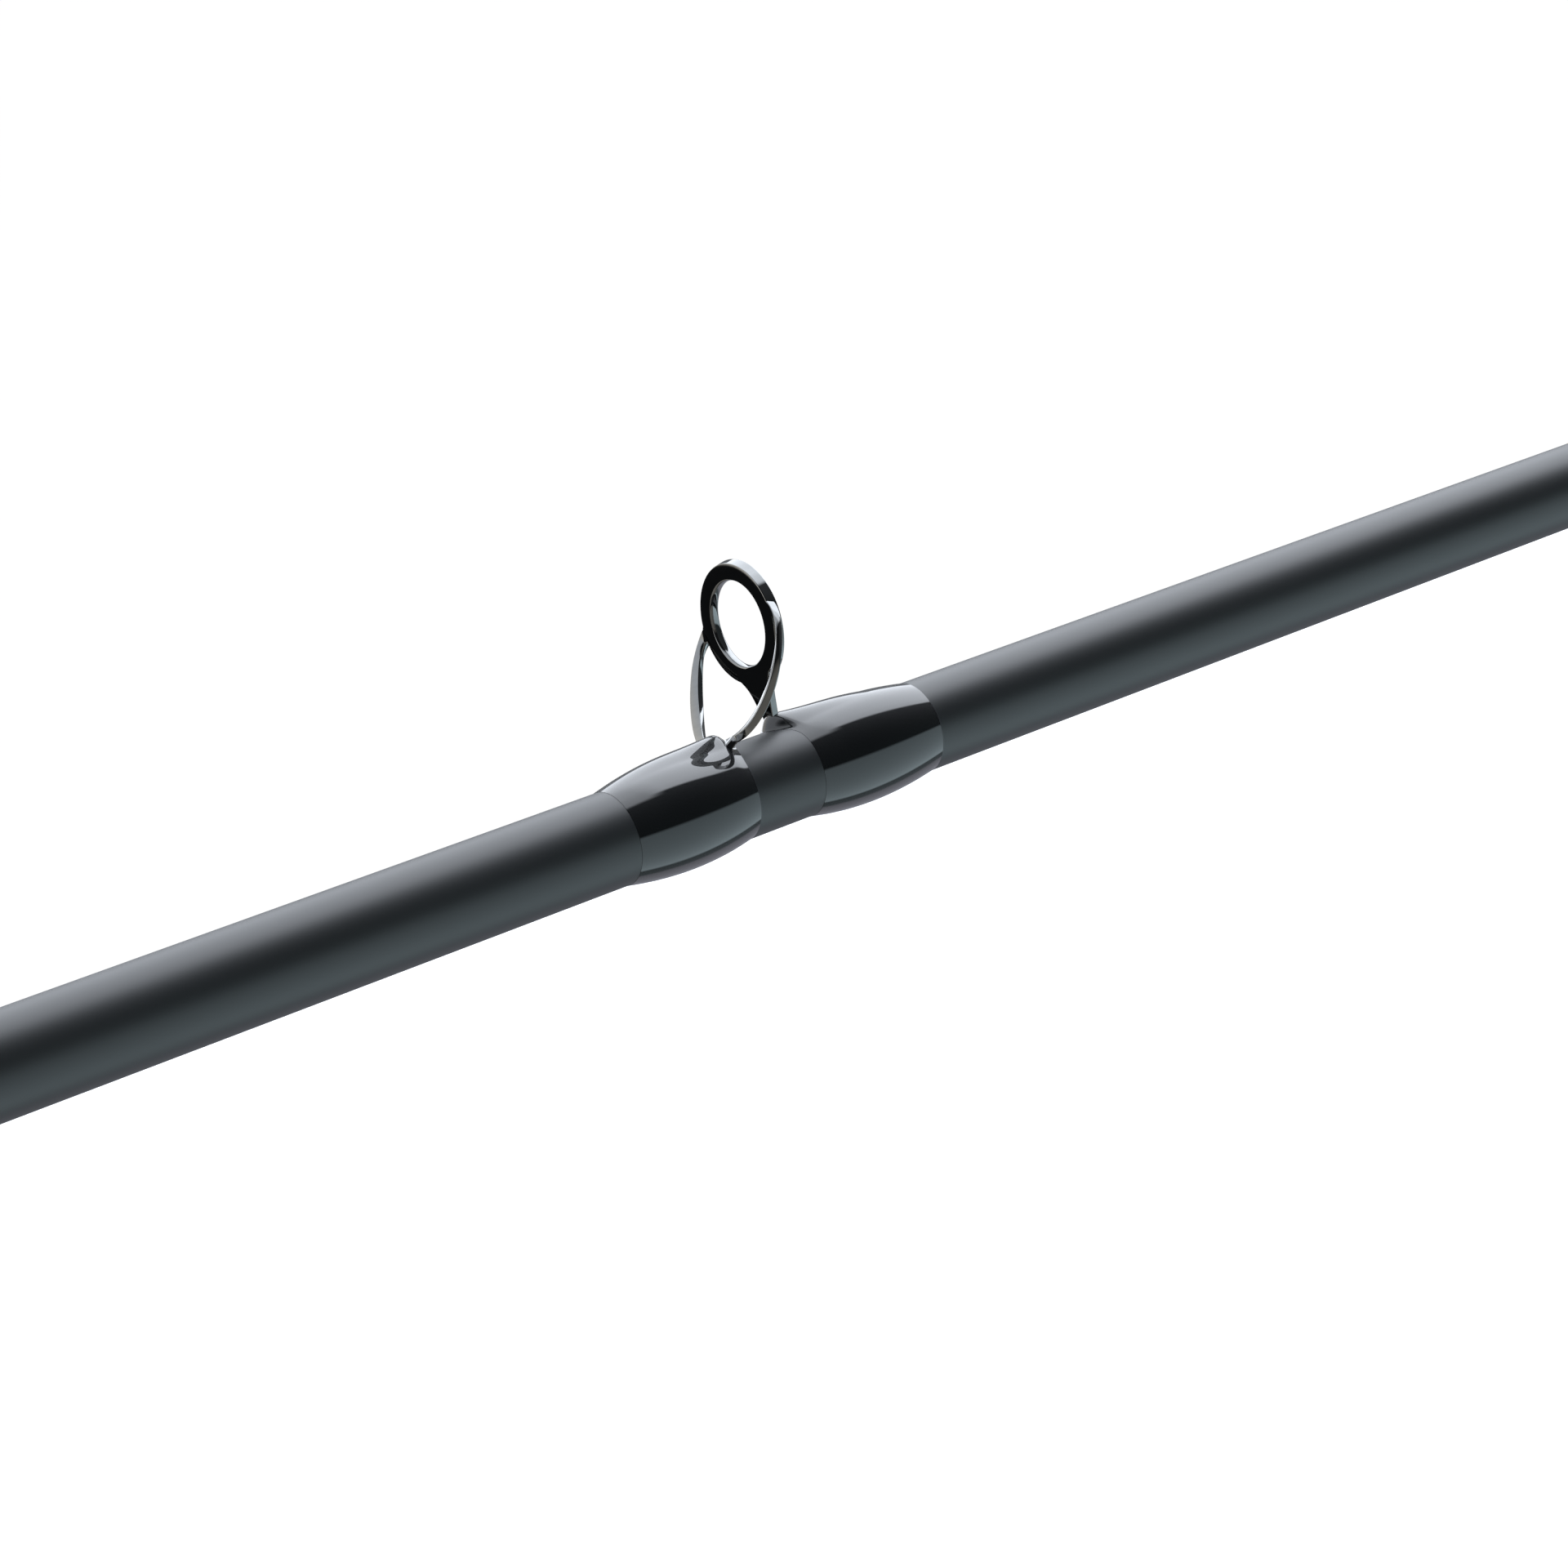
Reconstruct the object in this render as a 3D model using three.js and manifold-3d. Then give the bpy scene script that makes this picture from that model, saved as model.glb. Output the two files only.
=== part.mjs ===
// A two-piece spinning rod, built as its real pieces: a hollow blank in two sections joined by a
// spigot, a split foam handle, a screw-locking reel seat, six stamped one-piece guides and a tip-top,
// each guide foot bound down by a thread winding under an epoxy coat.
//
// Frame, in millimetres: X runs along the blank's axis towards the tip, and Z points to the side
// that carries the guides and the reel. Every x below counts from the butt end; the last lines
// move the origin to the middle of the reel seat.
import * as THREE from "three";
import { mergeVertices } from "three/addons/utils/BufferGeometryUtils.js";
import Module from "manifold-3d";

const wasm = await Module();
wasm.setup();

// ---------------------------------------------------------------- driving dimensions

const SLIP = 0.05; // gap between pieces that are glued or slid together
const BLANK_SIDES = 20; // facets round the blank and everything wound on it
const HANDLE_SIDES = 28; // facets round the grips, rings and reel seat

// The blank is a cone in two steps: nearly straight inside the handle, then an even taper.
const BLANK = {
  start: 8,
  handleEnd: 450,
  end: 2131,
  buttDiameter: 16.2,
  handleDiameter: 14.9,
  tipDiameter: 2.4,
  wall: 1.5,
  boreEnd: 1900, // past this the tip section is solid
};
const FERRULE = { butt: 1062, tip: 1066, rootEnd: 1004, freeEnd: 1132 };

// Guides from the reel to the tip: x of the ring's front face, and the ring's outer diameter.
const GUIDES = [
  { name: "guide_1", x: 860, size: 25 },
  { name: "guide_2", x: 1234, size: 12 },
  { name: "guide_3", x: 1525, size: 10 },
  { name: "guide_4", x: 1725, size: 8 },
  { name: "guide_5", x: 1885, size: 8 },
  { name: "guide_6", x: 2015, size: 8 },
];
// The 12 mm guide, which the others follow in proportion. Heights are above the blank's top.
const GUIDE = {
  size: 12,
  centreHeight: 10.6,
  tilt: THREE.MathUtils.degToRad(2.4), // the foot of the leg is nearer the butt
  legTop: 1.45, // half widths of the single leg
  legFoot: 0.6,
  frontFoot: [7.1, 19.6], // from the ring plane towards the butt
  rearFoot: [-0.8, 10.3], // from the ring plane towards the tip
  footHeight: 0.62,
  footTip: 0.1,
  footHalfWidth: 1.5,
  frontWrap: [7.45, 21.3],
  rearWrap: [0.6, 14.6],
};
const ringWidth = (size) => 0.175 * size - 0.3; // from the hole to the ring's outside
const COAT = 0.72; // thread winding and epoxy together, at the fullest place
const COAT_END = 0.42; // the same at its two ends

const SEAT = {
  start: 262.4,
  end: 398,
  bore: 9,
  rear: 12.0, // outer radii
  saddle: 11.5,
  threadCrest: 11.9,
  threadRoot: 11.2,
  threadPitch: 4,
  threadStart: 348,
  threadEnd: 390.5,
  bed: [290.5, 342.5], // the flat that the reel foot rests on
  bedHeight: 11.0,
  flatHeight: 10.8, // the flat under the hoods and through the thread
};
const FIXED_HOOD = { start: 265, wallEnd: 273, mouth: 288 };
const SLIDE_HOOD = { mouth: 345, wallStart: 358, end: 365 };
const HOOD = { outer: 13.0, ring: 12.95, pocket: 11.6, bore: 12.1, centre: 3.9 };
const NUT = { start: 365.4, end: 384, outer: 14.2, bore: 12.1, flutes: 14, fluteDepth: 0.45 };

const BUTT_CAP = { end: 17, outer: 15.5, cupStart: 4, cup: 13.2 };
const BUTT_GRIP = { start: 4.2, shoulder: 17.3, end: 130 };
const BUTT_CHECK = { start: 130.3, end: 134 };
const REAR_CHECK = { start: 202.3, end: 206 };
const REAR_GRIP = { start: 206.3, end: 262 };
const FOREGRIP = { start: 398.4, end: 452 };
const FORE_CHECK = { start: 452.3, end: 457.5 };
const KEEPER = { loop: 470, footStart: 477, footEnd: 489, wrap: [478.5, 493], height: 5.6, wire: 1.1 };
const TIP_TOP = { start: 2113, end: 2134, outer: 1.95, ringX: 2132, size: 8, ringHeight: 5.4 };

// ---------------------------------------------------------------- materials

const material = (color, roughness, metalness = 0) =>
  new THREE.MeshStandardMaterial({ color, roughness, metalness });
const MATERIALS = {
  blank: material(0x2b2f31, 0.45),
  wrap: material(0x1b1f21, 0.08),
  frame: material(0x2a2d30, 0.12, 1),
  foam: material(0x1d1e20, 0.85),
  rubber: material(0x17181a, 0.7),
  seat: material(0x202225, 0.35),
  steel: material(0x4a4d50, 0.2, 1),
  ring: material(0x3c4044, 0.25, 1),
  arbor: material(0xb9a983, 0.8),
};

const rod = new THREE.Group();

function add(name, geometry, kind, x = 0) {
  const mesh = new THREE.Mesh(geometry, MATERIALS[kind]);
  mesh.name = name;
  mesh.position.x = x;
  rod.add(mesh);
}

// ---------------------------------------------------------------- shape helpers

// Diameter of the blank's outside at a distance x from the butt end.
function blankDiameter(x) {
  const { start, handleEnd, end, buttDiameter, handleDiameter, tipDiameter } = BLANK;
  if (x < handleEnd) {
    return THREE.MathUtils.mapLinear(x, start, handleEnd, buttDiameter, handleDiameter);
  }
  return THREE.MathUtils.mapLinear(x, handleEnd, end, handleDiameter, tipDiameter);
}
const blankRadius = (x) => blankDiameter(x) / 2;
const boreRadius = (x) => blankRadius(x) - BLANK.wall;

// A solid of revolution about the X axis from a closed profile of [x, radius] pairs: along the
// outside towards the tip, then back along the bore.
function turned(profile, sides = HANDLE_SIDES) {
  const closed = profile[0][1] === 0 ? profile : [...profile, profile[0]];
  const points = closed.map(([x, r]) => new THREE.Vector2(r, x));
  return new THREE.LatheGeometry(points, sides).rotateZ(-Math.PI / 2);
}

// Moves every vertex in or out from the X axis: radius(x, r, angle) gives its new radius, with
// the angle counted from the top.
function reshape(geometry, radius) {
  const place = geometry.attributes.position;
  for (let i = 0; i < place.count; i += 1) {
    const [x, y, z] = [place.getX(i), place.getY(i), place.getZ(i)];
    const r = Math.hypot(y, z);
    const scale = r > 0 ? radius(x, r, Math.atan2(y, z)) / r : 1;
    place.setXYZ(i, x, y * scale, z * scale);
  }
  return geometry;
}

// A closed solid through polygons of equal point counts, capped at both ends.
function lofted(sections) {
  const n = sections[0].length;
  const corner = (s, i) => sections[s][((i % n) + n) % n];
  const triangles = [];
  for (let s = 0; s < sections.length - 1; s += 1) {
    for (let i = 0; i < n; i += 1) {
      triangles.push(corner(s, i), corner(s, i + 1), corner(s + 1, i + 1));
      triangles.push(corner(s, i), corner(s + 1, i + 1), corner(s + 1, i));
    }
  }
  const last = sections.length - 1;
  for (let i = 1; i < n - 1; i += 1) {
    triangles.push(corner(0, 0), corner(0, i + 1), corner(0, i));
    triangles.push(corner(last, 0), corner(last, i), corner(last, i + 1));
  }
  return new THREE.BufferGeometry().setFromPoints(triangles);
}

// A solid for cutting and joining, with its faces turned outwards.
function toSolid(geometry) {
  const bare = geometry.clone();
  bare.deleteAttribute("normal");
  bare.deleteAttribute("uv");
  const merged = mergeVertices(bare, 1e-4);
  const solidOf = (indices) =>
    new wasm.Manifold(
      new wasm.Mesh({
        numProp: 3,
        vertProperties: merged.attributes.position.array,
        triVerts: new Uint32Array(indices),
      }),
    );
  const solid = solidOf(merged.index.array);
  return solid.volume() > 0 ? solid : solidOf([...merged.index.array].reverse());
}

function toGeometry(solid) {
  const mesh = solid.getMesh();
  return new THREE.BufferGeometry()
    .setAttribute("position", new THREE.BufferAttribute(mesh.vertProperties, 3))
    .setIndex(new THREE.BufferAttribute(mesh.triVerts, 1));
}

const joined = (...solids) => solids.reduce((all, next) => all.add(next));

// A round bar along X whose axis is at height z.
function bar(radius, start, end, z = 0, sides = HANDLE_SIDES) {
  const shape = new THREE.CylinderGeometry(radius, radius, end - start, sides);
  return shape.rotateZ(-Math.PI / 2).translate((start + end) / 2, 0, z);
}

function block([x0, x1], [y0, y1], [z0, z1]) {
  const shape = new THREE.BoxGeometry(x1 - x0, y1 - y0, z1 - z0);
  return shape.translate((x0 + x1) / 2, (y0 + y1) / 2, (z0 + z1) / 2);
}

// ---------------------------------------------------------------- blank and ferrule

function addBlank() {
  const butt = [BLANK.start, BLANK.handleEnd, FERRULE.butt];
  const outside = butt.map((x) => [x, blankRadius(x)]);
  const bore = [...butt].reverse().map((x) => [x, boreRadius(x)]);
  add("butt_blank", turned([...outside, ...bore], BLANK_SIDES), "blank");

  const { tip } = FERRULE;
  const tipProfile = [
    [BLANK.boreEnd, 0],
    [BLANK.boreEnd, boreRadius(BLANK.boreEnd)],
    [tip, boreRadius(tip)],
    [tip, blankRadius(tip)],
    [BLANK.end, blankRadius(BLANK.end)],
    [BLANK.end, 0],
  ];
  add("tip_blank", turned(tipProfile, BLANK_SIDES), "blank");

  const { rootEnd, freeEnd } = FERRULE;
  const spigot = [
    [rootEnd, 0],
    [rootEnd, boreRadius(rootEnd) - SLIP],
    [freeEnd, boreRadius(freeEnd) - SLIP],
    [freeEnd, 0],
  ];
  add("ferrule_spigot", turned(spigot, BLANK_SIDES), "blank");
}

// ---------------------------------------------------------------- thread windings and epoxy

// How much of a foot's height a winding follows at an angle from the top.
function overFoot(angle) {
  const steps = Math.abs(angle) / ((2 * Math.PI) / BLANK_SIDES);
  return [1, 0.82, 0.16][Math.round(steps)] ?? 0;
}

// A winding and its coat from x = near (at the guide) to x = far. What lies under it keeps its
// height for the share hold of the length and then runs out. side is -1 on the rod's underside.
function addWrap(name, near, far, { height = 0, hold = 0, side = 1 } = {}) {
  const kink = near + hold * (far - near);
  const lift = (x, angle) => {
    const fromFoot = side > 0 ? angle : Math.PI - Math.abs(angle);
    const runOut = THREE.MathUtils.mapLinear(x, kink, far, 1, 0.15);
    return height * Math.min(runOut, 1) * overFoot(fromFoot);
  };
  const start = Math.min(near, far);
  const end = Math.max(near, far);
  const middle = (start + end) / 2;
  const coat = (x) => {
    const bulge = COAT * (1 - ((2 * (x - middle)) / (end - start)) ** 2);
    return Math.max(bulge, COAT_END);
  };
  const steps = 4;
  const stations = Array.from({ length: steps + 1 }, (_, i) => start + ((end - start) * i) / steps);
  const inside = [end, start];
  if (hold > 0) {
    stations.push(kink);
    stations.sort((p, q) => p - q);
    inside.splice(1, 0, kink);
  }
  const profile = stations.map((x) => [x, blankRadius(x) + coat(x)]);
  inside.forEach((x) => profile.push([x, blankRadius(x) + SLIP]));
  add(name, reshape(turned(profile, BLANK_SIDES), (x, r, angle) => r + lift(x, angle)), "wrap");
}

// ---------------------------------------------------------------- guides

// A flat ring with a single leg, standing across the blank with its front face at x = 0.
function ringPlate(radius, hole, centre, legTop, legFoot, footZ, sheet) {
  const shape = new THREE.Shape();
  const legAngle = Math.asin(legTop / radius);
  const turn = -Math.PI / 2;
  shape.absarc(0, 0, radius, turn + legAngle, turn - legAngle + 2 * Math.PI, false);
  shape.lineTo(-legFoot, footZ - centre);
  shape.lineTo(legFoot, footZ - centre);
  shape.closePath();
  shape.holes.push(new THREE.Path().absarc(0, 0, hole, 0, 2 * Math.PI, true));
  const plate = new THREE.ExtrudeGeometry(shape, {
    depth: sheet,
    bevelEnabled: false,
    curveSegments: 20,
  });
  // Shape x becomes Y, shape y becomes Z, and the extrusion runs along X.
  plate.applyMatrix4(new THREE.Matrix4().set(0, 0, 1, 0, 1, 0, 0, 0, 0, 1, 0, 0, 0, 0, 0, 1));
  return plate.rotateY(GUIDE.tilt).translate(0, 0, centre);
}

// One side arm: a strip of the same sheet whose outer and inner edges are two curves. It leaves
// the ring's side, bows outwards and comes in over the blank to the front foot.
function sideArm(side, k, centre, top, sheet, guideX) {
  const p = (x, y, z) => new THREE.Vector3(x, y, z);
  const outer = new THREE.CubicBezierCurve3(
    p(0, 6.37 * k, centre + 1.05 * k),
    p(-0.75 * k, 10.18 * k, centre - 2.0 * k),
    p(-5.15 * k, 6.64 * k, top + 0.93 * k),
    p(-6.64 * k, 2.7 * k, top + 0.66 * k),
  );
  const inner = new THREE.CubicBezierCurve3(
    p(0, 6.13 * k, centre - 0.47 * k),
    p(-0.94 * k, 8.43 * k, centre - 2.17 * k),
    p(-4.73 * k, 6.16 * k, top + 0.74 * k),
    p(-6.74 * k, 1.35 * k, top + 0.6 * k),
  );
  const backTop = p(0.9, 0.1, 0.42);
  const backFoot = p(0.12, 0.3, -0.92);
  const section = (o, i, share) => {
    const back = backTop.clone().lerp(backFoot, share).setLength(0.8 * sheet);
    return [o, i, i.clone().add(back), o.clone().add(back)];
  };
  const steps = 8;
  const sections = [
    section(p(0.1 * k, 5.5 * k, centre + 2.2 * k), p(0.1 * k, 5.0 * k, centre + 0.2 * k), 0),
  ];
  for (let i = 0; i <= steps; i += 1) {
    sections.push(section(outer.getPoint(i / steps), inner.getPoint(i / steps), i / steps));
  }
  // The strip's end, in the foot.
  const footX = -(GUIDE.frontFoot[0] + 0.2) * k;
  sections.push(section(p(footX, 1.3 * k, top + 0.5 * k), p(footX, 0.3 * k, top + 0.5 * k), 1));
  sections.flat().forEach((v) => {
    v.setY(v.y * side).setZ(Math.max(v.z, blankRadius(guideX + v.x) + SLIP));
  });
  return lofted(sections);
}

// A foot on the blank: a low dome in section, tall where it leaves the frame.
function foot(guideX, stations) {
  const gap = SLIP;
  return lofted(
    stations.map(([x, halfWidth, height]) => {
      const base = blankRadius(guideX + x) + gap;
      return [
        [-1, 0],
        [1, 0],
        [1, 0.4],
        [0.45, 0.78],
        [-0.45, 0.78],
        [-1, 0.4],
      ].map(([y, z]) => new THREE.Vector3(x, y * halfWidth, base + z * height));
    }),
  );
}

function addGuide({ name, x, size }) {
  const k = size / GUIDE.size;
  const reach = k ** 0.6; // the feet and windings grow more slowly than the ring
  const radius = size / 2;
  const sheet = 0.55 + 0.0375 * size;
  const top = blankRadius(x);
  const centre = top + GUIDE.centreHeight * k;
  const rise = GUIDE.footHeight * Math.sqrt(k);
  const half = GUIDE.footHalfWidth * Math.min(1, top / 4.5);
  const [frontNear, frontFar] = GUIDE.frontFoot;
  const frontStart = frontNear * k;
  const frontEnd = frontStart + (frontFar - frontNear) * reach;
  const [rearNear, rearFar] = GUIDE.rearFoot;
  const plate = ringPlate(
    radius,
    radius - ringWidth(size),
    centre,
    GUIDE.legTop * k,
    GUIDE.legFoot * k,
    top + 0.35 * rise,
    sheet,
  );
  const frontFoot = foot(x, [
    [-frontStart, half, rise],
    [-frontEnd, 0.55 * half, GUIDE.footTip],
  ]);
  const rearFoot = foot(x, [
    [rearNear * k, 0.75 * half, 1.05 * rise],
    [0.5, 0.9 * half, rise],
    [rearFar * reach, 0.55 * half, GUIDE.footTip],
  ]);
  const arms = [1, -1].map((side) => toSolid(sideArm(side, k, centre, top, sheet, x)));
  const frame = joined(toSolid(plate), ...arms, toSolid(frontFoot), toSolid(rearFoot));
  add(`${name}_frame`, toGeometry(frame), "frame", x);

  const room = rise + 0.14; // the windings clear the foot by a little
  const [wrapNear, wrapFar] = GUIDE.frontWrap;
  const frontWrap = wrapNear * k;
  const frontWrapEnd = frontWrap + (wrapFar - wrapNear) * reach;
  addWrap(`${name}_front_wrap`, x - frontWrap, x - frontWrapEnd, { height: room });
  const [rearWrap, rearWrapEnd] = GUIDE.rearWrap;
  addWrap(`${name}_rear_wrap`, x + rearWrap + 0.3, x + rearWrapEnd * reach, { height: room });
}

// The tip-top: a tube over the blank's end carries a ring on one leg and two arms.
function addTipTop() {
  const { start, end, outer, ringX, size, ringHeight } = TIP_TOP;
  const radius = size / 2;
  const sheet = 0.85;
  const bore = blankRadius(start) + SLIP;
  const tube = turned(
    [
      [start, outer - 0.25],
      [start + 0.6, outer],
      [end - 0.5, outer],
      [end, outer - 0.4],
      [end, 0],
      [BLANK.end + 0.4, 0],
      [BLANK.end + 0.4, bore],
      [start, bore],
    ].reverse(),
    BLANK_SIDES,
  );
  const plate = ringPlate(radius, radius - ringWidth(size), ringHeight, 1, 0.7, outer - 0.3, sheet);
  plate.translate(ringX, 0, 0);
  const arm = (side) => {
    const ring = new THREE.Vector3(ringX + 0.2, side * 3.5, ringHeight + 0.4);
    const tubeEnd = new THREE.Vector3(start + 5, side * 1.0, outer - 0.55);
    const middle = new THREE.Vector3(start + 12, side * 3.4, outer + 0.3);
    const curve = new THREE.QuadraticBezierCurve3(tubeEnd, middle, ring);
    const sections = [0, 0.2, 0.4, 0.6, 0.8, 1].map((s) => {
      const c = curve.getPoint(s);
      return [
        [-0.4, -0.5],
        [0.4, -0.5],
        [0.4, 0.5],
        [-0.4, 0.5],
      ].map(([y, z]) => new THREE.Vector3(c.x, c.y + y, c.z + z));
    });
    return toSolid(lofted(sections));
  };
  add("tip_top_frame", toGeometry(joined(toSolid(tube), toSolid(plate), arm(1), arm(-1))), "frame");
  addWrap("tip_top_wrap", start - 0.4, start - 13.5);
}

// ---------------------------------------------------------------- handle

function bored(outside, start, end) {
  return [...outside, [end, blankRadius(end) + SLIP], [start, blankRadius(start) + SLIP]];
}

function addGrips() {
  const { outer, cup, cupStart } = BUTT_CAP;
  const cap = [
    [0, 0],
    [0, outer - 3],
    [1, outer - 0.9],
    [3, outer],
    [BUTT_CAP.end - 1, outer],
    [BUTT_CAP.end, outer - 0.7],
    [BUTT_CAP.end, cup],
    [cupStart, cup],
    [cupStart, 0],
  ];
  add("butt_cap", turned(cap), "rubber");

  // The foam closes the blank's end, inside the cap.
  const { start, shoulder, end } = BUTT_GRIP;
  const buttGrip = [
    [start, 0],
    [start, cup - SLIP],
    [shoulder, cup - SLIP],
    [shoulder, outer - 0.4],
    [40, 15.4],
    [62, 14.6],
    [88, 12.7],
    [110, 11.3],
    [end, 10.5],
    [end, blankRadius(end) + SLIP],
    [BLANK.start - 0.2, blankRadius(BLANK.start) + SLIP],
    [BLANK.start - 0.2, 0],
  ];
  add("butt_grip", turned(buttGrip), "foam");

  const rearGrip = [
    [REAR_GRIP.start, 9.9],
    [216, 10.6],
    [230, 12.4],
    [242, 13.3],
    [252, 13.2],
    [REAR_GRIP.end, 12.6],
  ];
  add("rear_grip", turned(bored(rearGrip, REAR_GRIP.start, REAR_GRIP.end)), "foam");

  const foregrip = [
    [FOREGRIP.start, 12.8],
    [404, 13.4],
    [414, 13.3],
    [428, 12],
    [442, 10.4],
    [FOREGRIP.end, 9.7],
  ];
  add("foregrip", turned(bored(foregrip, FOREGRIP.start, FOREGRIP.end)), "foam");
}

// Turned metal rings that finish the ends of the foam.
function addTrimRings() {
  const ring = (name, { start, end }, rearRadius, foreRadius) => {
    const edge = 0.5;
    const outside = [
      [start, rearRadius - edge],
      [start + edge, rearRadius],
      [end - edge, foreRadius],
      [end, foreRadius - edge],
    ];
    add(name, turned(bored(outside, start, end)), "ring");
  };
  ring("butt_grip_ring", BUTT_CHECK, 10.5, 9.9);
  ring("rear_grip_ring", REAR_CHECK, 9.3, 9.9);
  ring("foregrip_ring", FORE_CHECK, 9.6, 8.7);
}

// ---------------------------------------------------------------- reel seat

// The threaded tube: a plain cylinder whose radius rises and falls along a helix.
function threadedTube() {
  const { threadStart, threadEnd, threadPitch, threadCrest, threadRoot } = SEAT;
  const length = threadEnd - threadStart;
  const rows = Math.round(length / threadPitch) * 3;
  const tube = new THREE.CylinderGeometry(threadRoot, threadRoot, length, 16, rows);
  tube.rotateZ(-Math.PI / 2).translate((threadStart + threadEnd) / 2, 0, 0);
  const wave = (x, angle) => {
    const phase = (x / threadPitch + angle / (2 * Math.PI)) % 1;
    return 1 - Math.abs(2 * phase - 1);
  };
  const ridge = threadCrest - threadRoot;
  return reshape(tube, (x, r, angle) => {
    if (r < threadRoot - 0.01 || x < threadStart + 0.01 || x > threadEnd - 0.01) return r;
    return r + ridge * wave(x, angle);
  });
}

function addSeat() {
  const { start, end, bore, rear, saddle, bed, threadRoot, threadStart, threadEnd } = SEAT;
  const body = turned([
    [start, rear],
    [FIXED_HOOD.mouth, rear],
    [bed[0], saddle],
    [threadStart - 1, saddle],
    [threadStart - 1, threadRoot],
    [threadEnd + 1, threadRoot],
    [threadEnd + 1, saddle],
    [end, saddle + 0.6],
    [end, bore],
    [start, bore],
  ]);
  const wide = [-20, 20];
  const above = (z) => [z, 30];
  const hollow = toSolid(bar(bore, start - 1, end + 1));
  const thread = toSolid(threadedTube()).subtract(hollow);
  const barrel = joined(toSolid(body), thread)
    .subtract(toSolid(block([FIXED_HOOD.wallEnd, bed[0]], wide, above(SEAT.flatHeight))))
    .subtract(toSolid(block([bed[0] - 0.01, bed[1]], wide, above(SEAT.bedHeight))))
    .subtract(toSolid(block([bed[1] - 0.01, threadEnd + 1], wide, above(SEAT.flatHeight))));
  add("seat_barrel", toGeometry(barrel), "seat");

  const arbor = (name, x0, x1) => {
    const outside = [
      [x0, bore - SLIP],
      [x1, bore - SLIP],
    ];
    add(name, turned(bored(outside, x0, x1)), "arbor");
  };
  arbor("seat_arbor_rear", 268, 290);
  arbor("seat_arbor_front", 370, 394);
}

// The outside of a hood: a ring round the barrel with a raised roof over the reel foot's end.
// The roof slopes down over slope mm at its closed end.
function hoodOutside(start, end, slopeAtStart) {
  const ring = toSolid(bar(HOOD.ring, start, end));
  const roof = new THREE.CylinderGeometry(HOOD.outer, HOOD.outer, end - start, HANDLE_SIDES, 3);
  roof.rotateZ(-Math.PI / 2).translate((start + end) / 2, 0, 0);
  const shrink = (x) => {
    const fromClosedEnd = (slopeAtStart ? x - start : end - x) / (end - start);
    return fromClosedEnd < 0.2 ? 0.78 : fromClosedEnd < 0.5 ? 0.93 : 1;
  };
  const place = roof.attributes.position;
  for (let i = 0; i < place.count; i += 1) {
    const s = shrink(place.getX(i));
    place.setXYZ(i, place.getX(i), place.getY(i) * s, place.getZ(i) * s + HOOD.centre * s);
  }
  return joined(ring, toSolid(roof));
}

function addHoods() {
  const past = 1;
  const flat = (x, z) => toSolid(block(x, [-20, 20], z));
  // Everything a hood leaves free for the barrel: a round bore, flat on top inside its end wall.
  const barrelRoom = (start, end) => toSolid(bar(HOOD.bore, start - past, end + past));
  const pocket = (start, end) => {
    const above = flat([start, end], [SEAT.flatHeight - 1, 40]);
    return toSolid(bar(HOOD.pocket, start, end, HOOD.centre)).intersect(above);
  };
  const fixed = hoodOutside(FIXED_HOOD.start, FIXED_HOOD.mouth, true)
    .subtract(barrelRoom(FIXED_HOOD.start, FIXED_HOOD.mouth))
    .subtract(pocket(FIXED_HOOD.wallEnd, FIXED_HOOD.mouth + past));
  add("fixed_hood", toGeometry(fixed), "steel");

  const wallFlat = [SEAT.flatHeight + 0.12, 40];
  const wallRoom = barrelRoom(SLIDE_HOOD.wallStart, SLIDE_HOOD.end).subtract(
    flat([SLIDE_HOOD.wallStart, SLIDE_HOOD.end + 2 * past], wallFlat),
  );
  const openRoom = toSolid(bar(HOOD.bore, SLIDE_HOOD.mouth - past, SLIDE_HOOD.wallStart));
  const slide = hoodOutside(SLIDE_HOOD.mouth, SLIDE_HOOD.end, false)
    .subtract(openRoom)
    .subtract(wallRoom)
    .subtract(pocket(SLIDE_HOOD.mouth - past, SLIDE_HOOD.wallStart));
  add("slide_hood", toGeometry(slide), "steel");
}

function addNut() {
  const { start, end, outer, bore, flutes, fluteDepth } = NUT;
  const profile = [
    [start, outer - 1.2],
    [start + 1, outer],
    [end - 1.5, outer],
    [end, outer - 1.3],
    [end, bore],
    [start, bore],
  ];
  const fluted = (x, r, angle) =>
    r > outer - 0.01 ? r - fluteDepth * (0.5 - 0.5 * Math.cos(flutes * angle)) : r;
  add("lock_nut", reshape(turned(profile, 4 * flutes), fluted), "seat");
}

// ---------------------------------------------------------------- hook keeper

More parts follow.
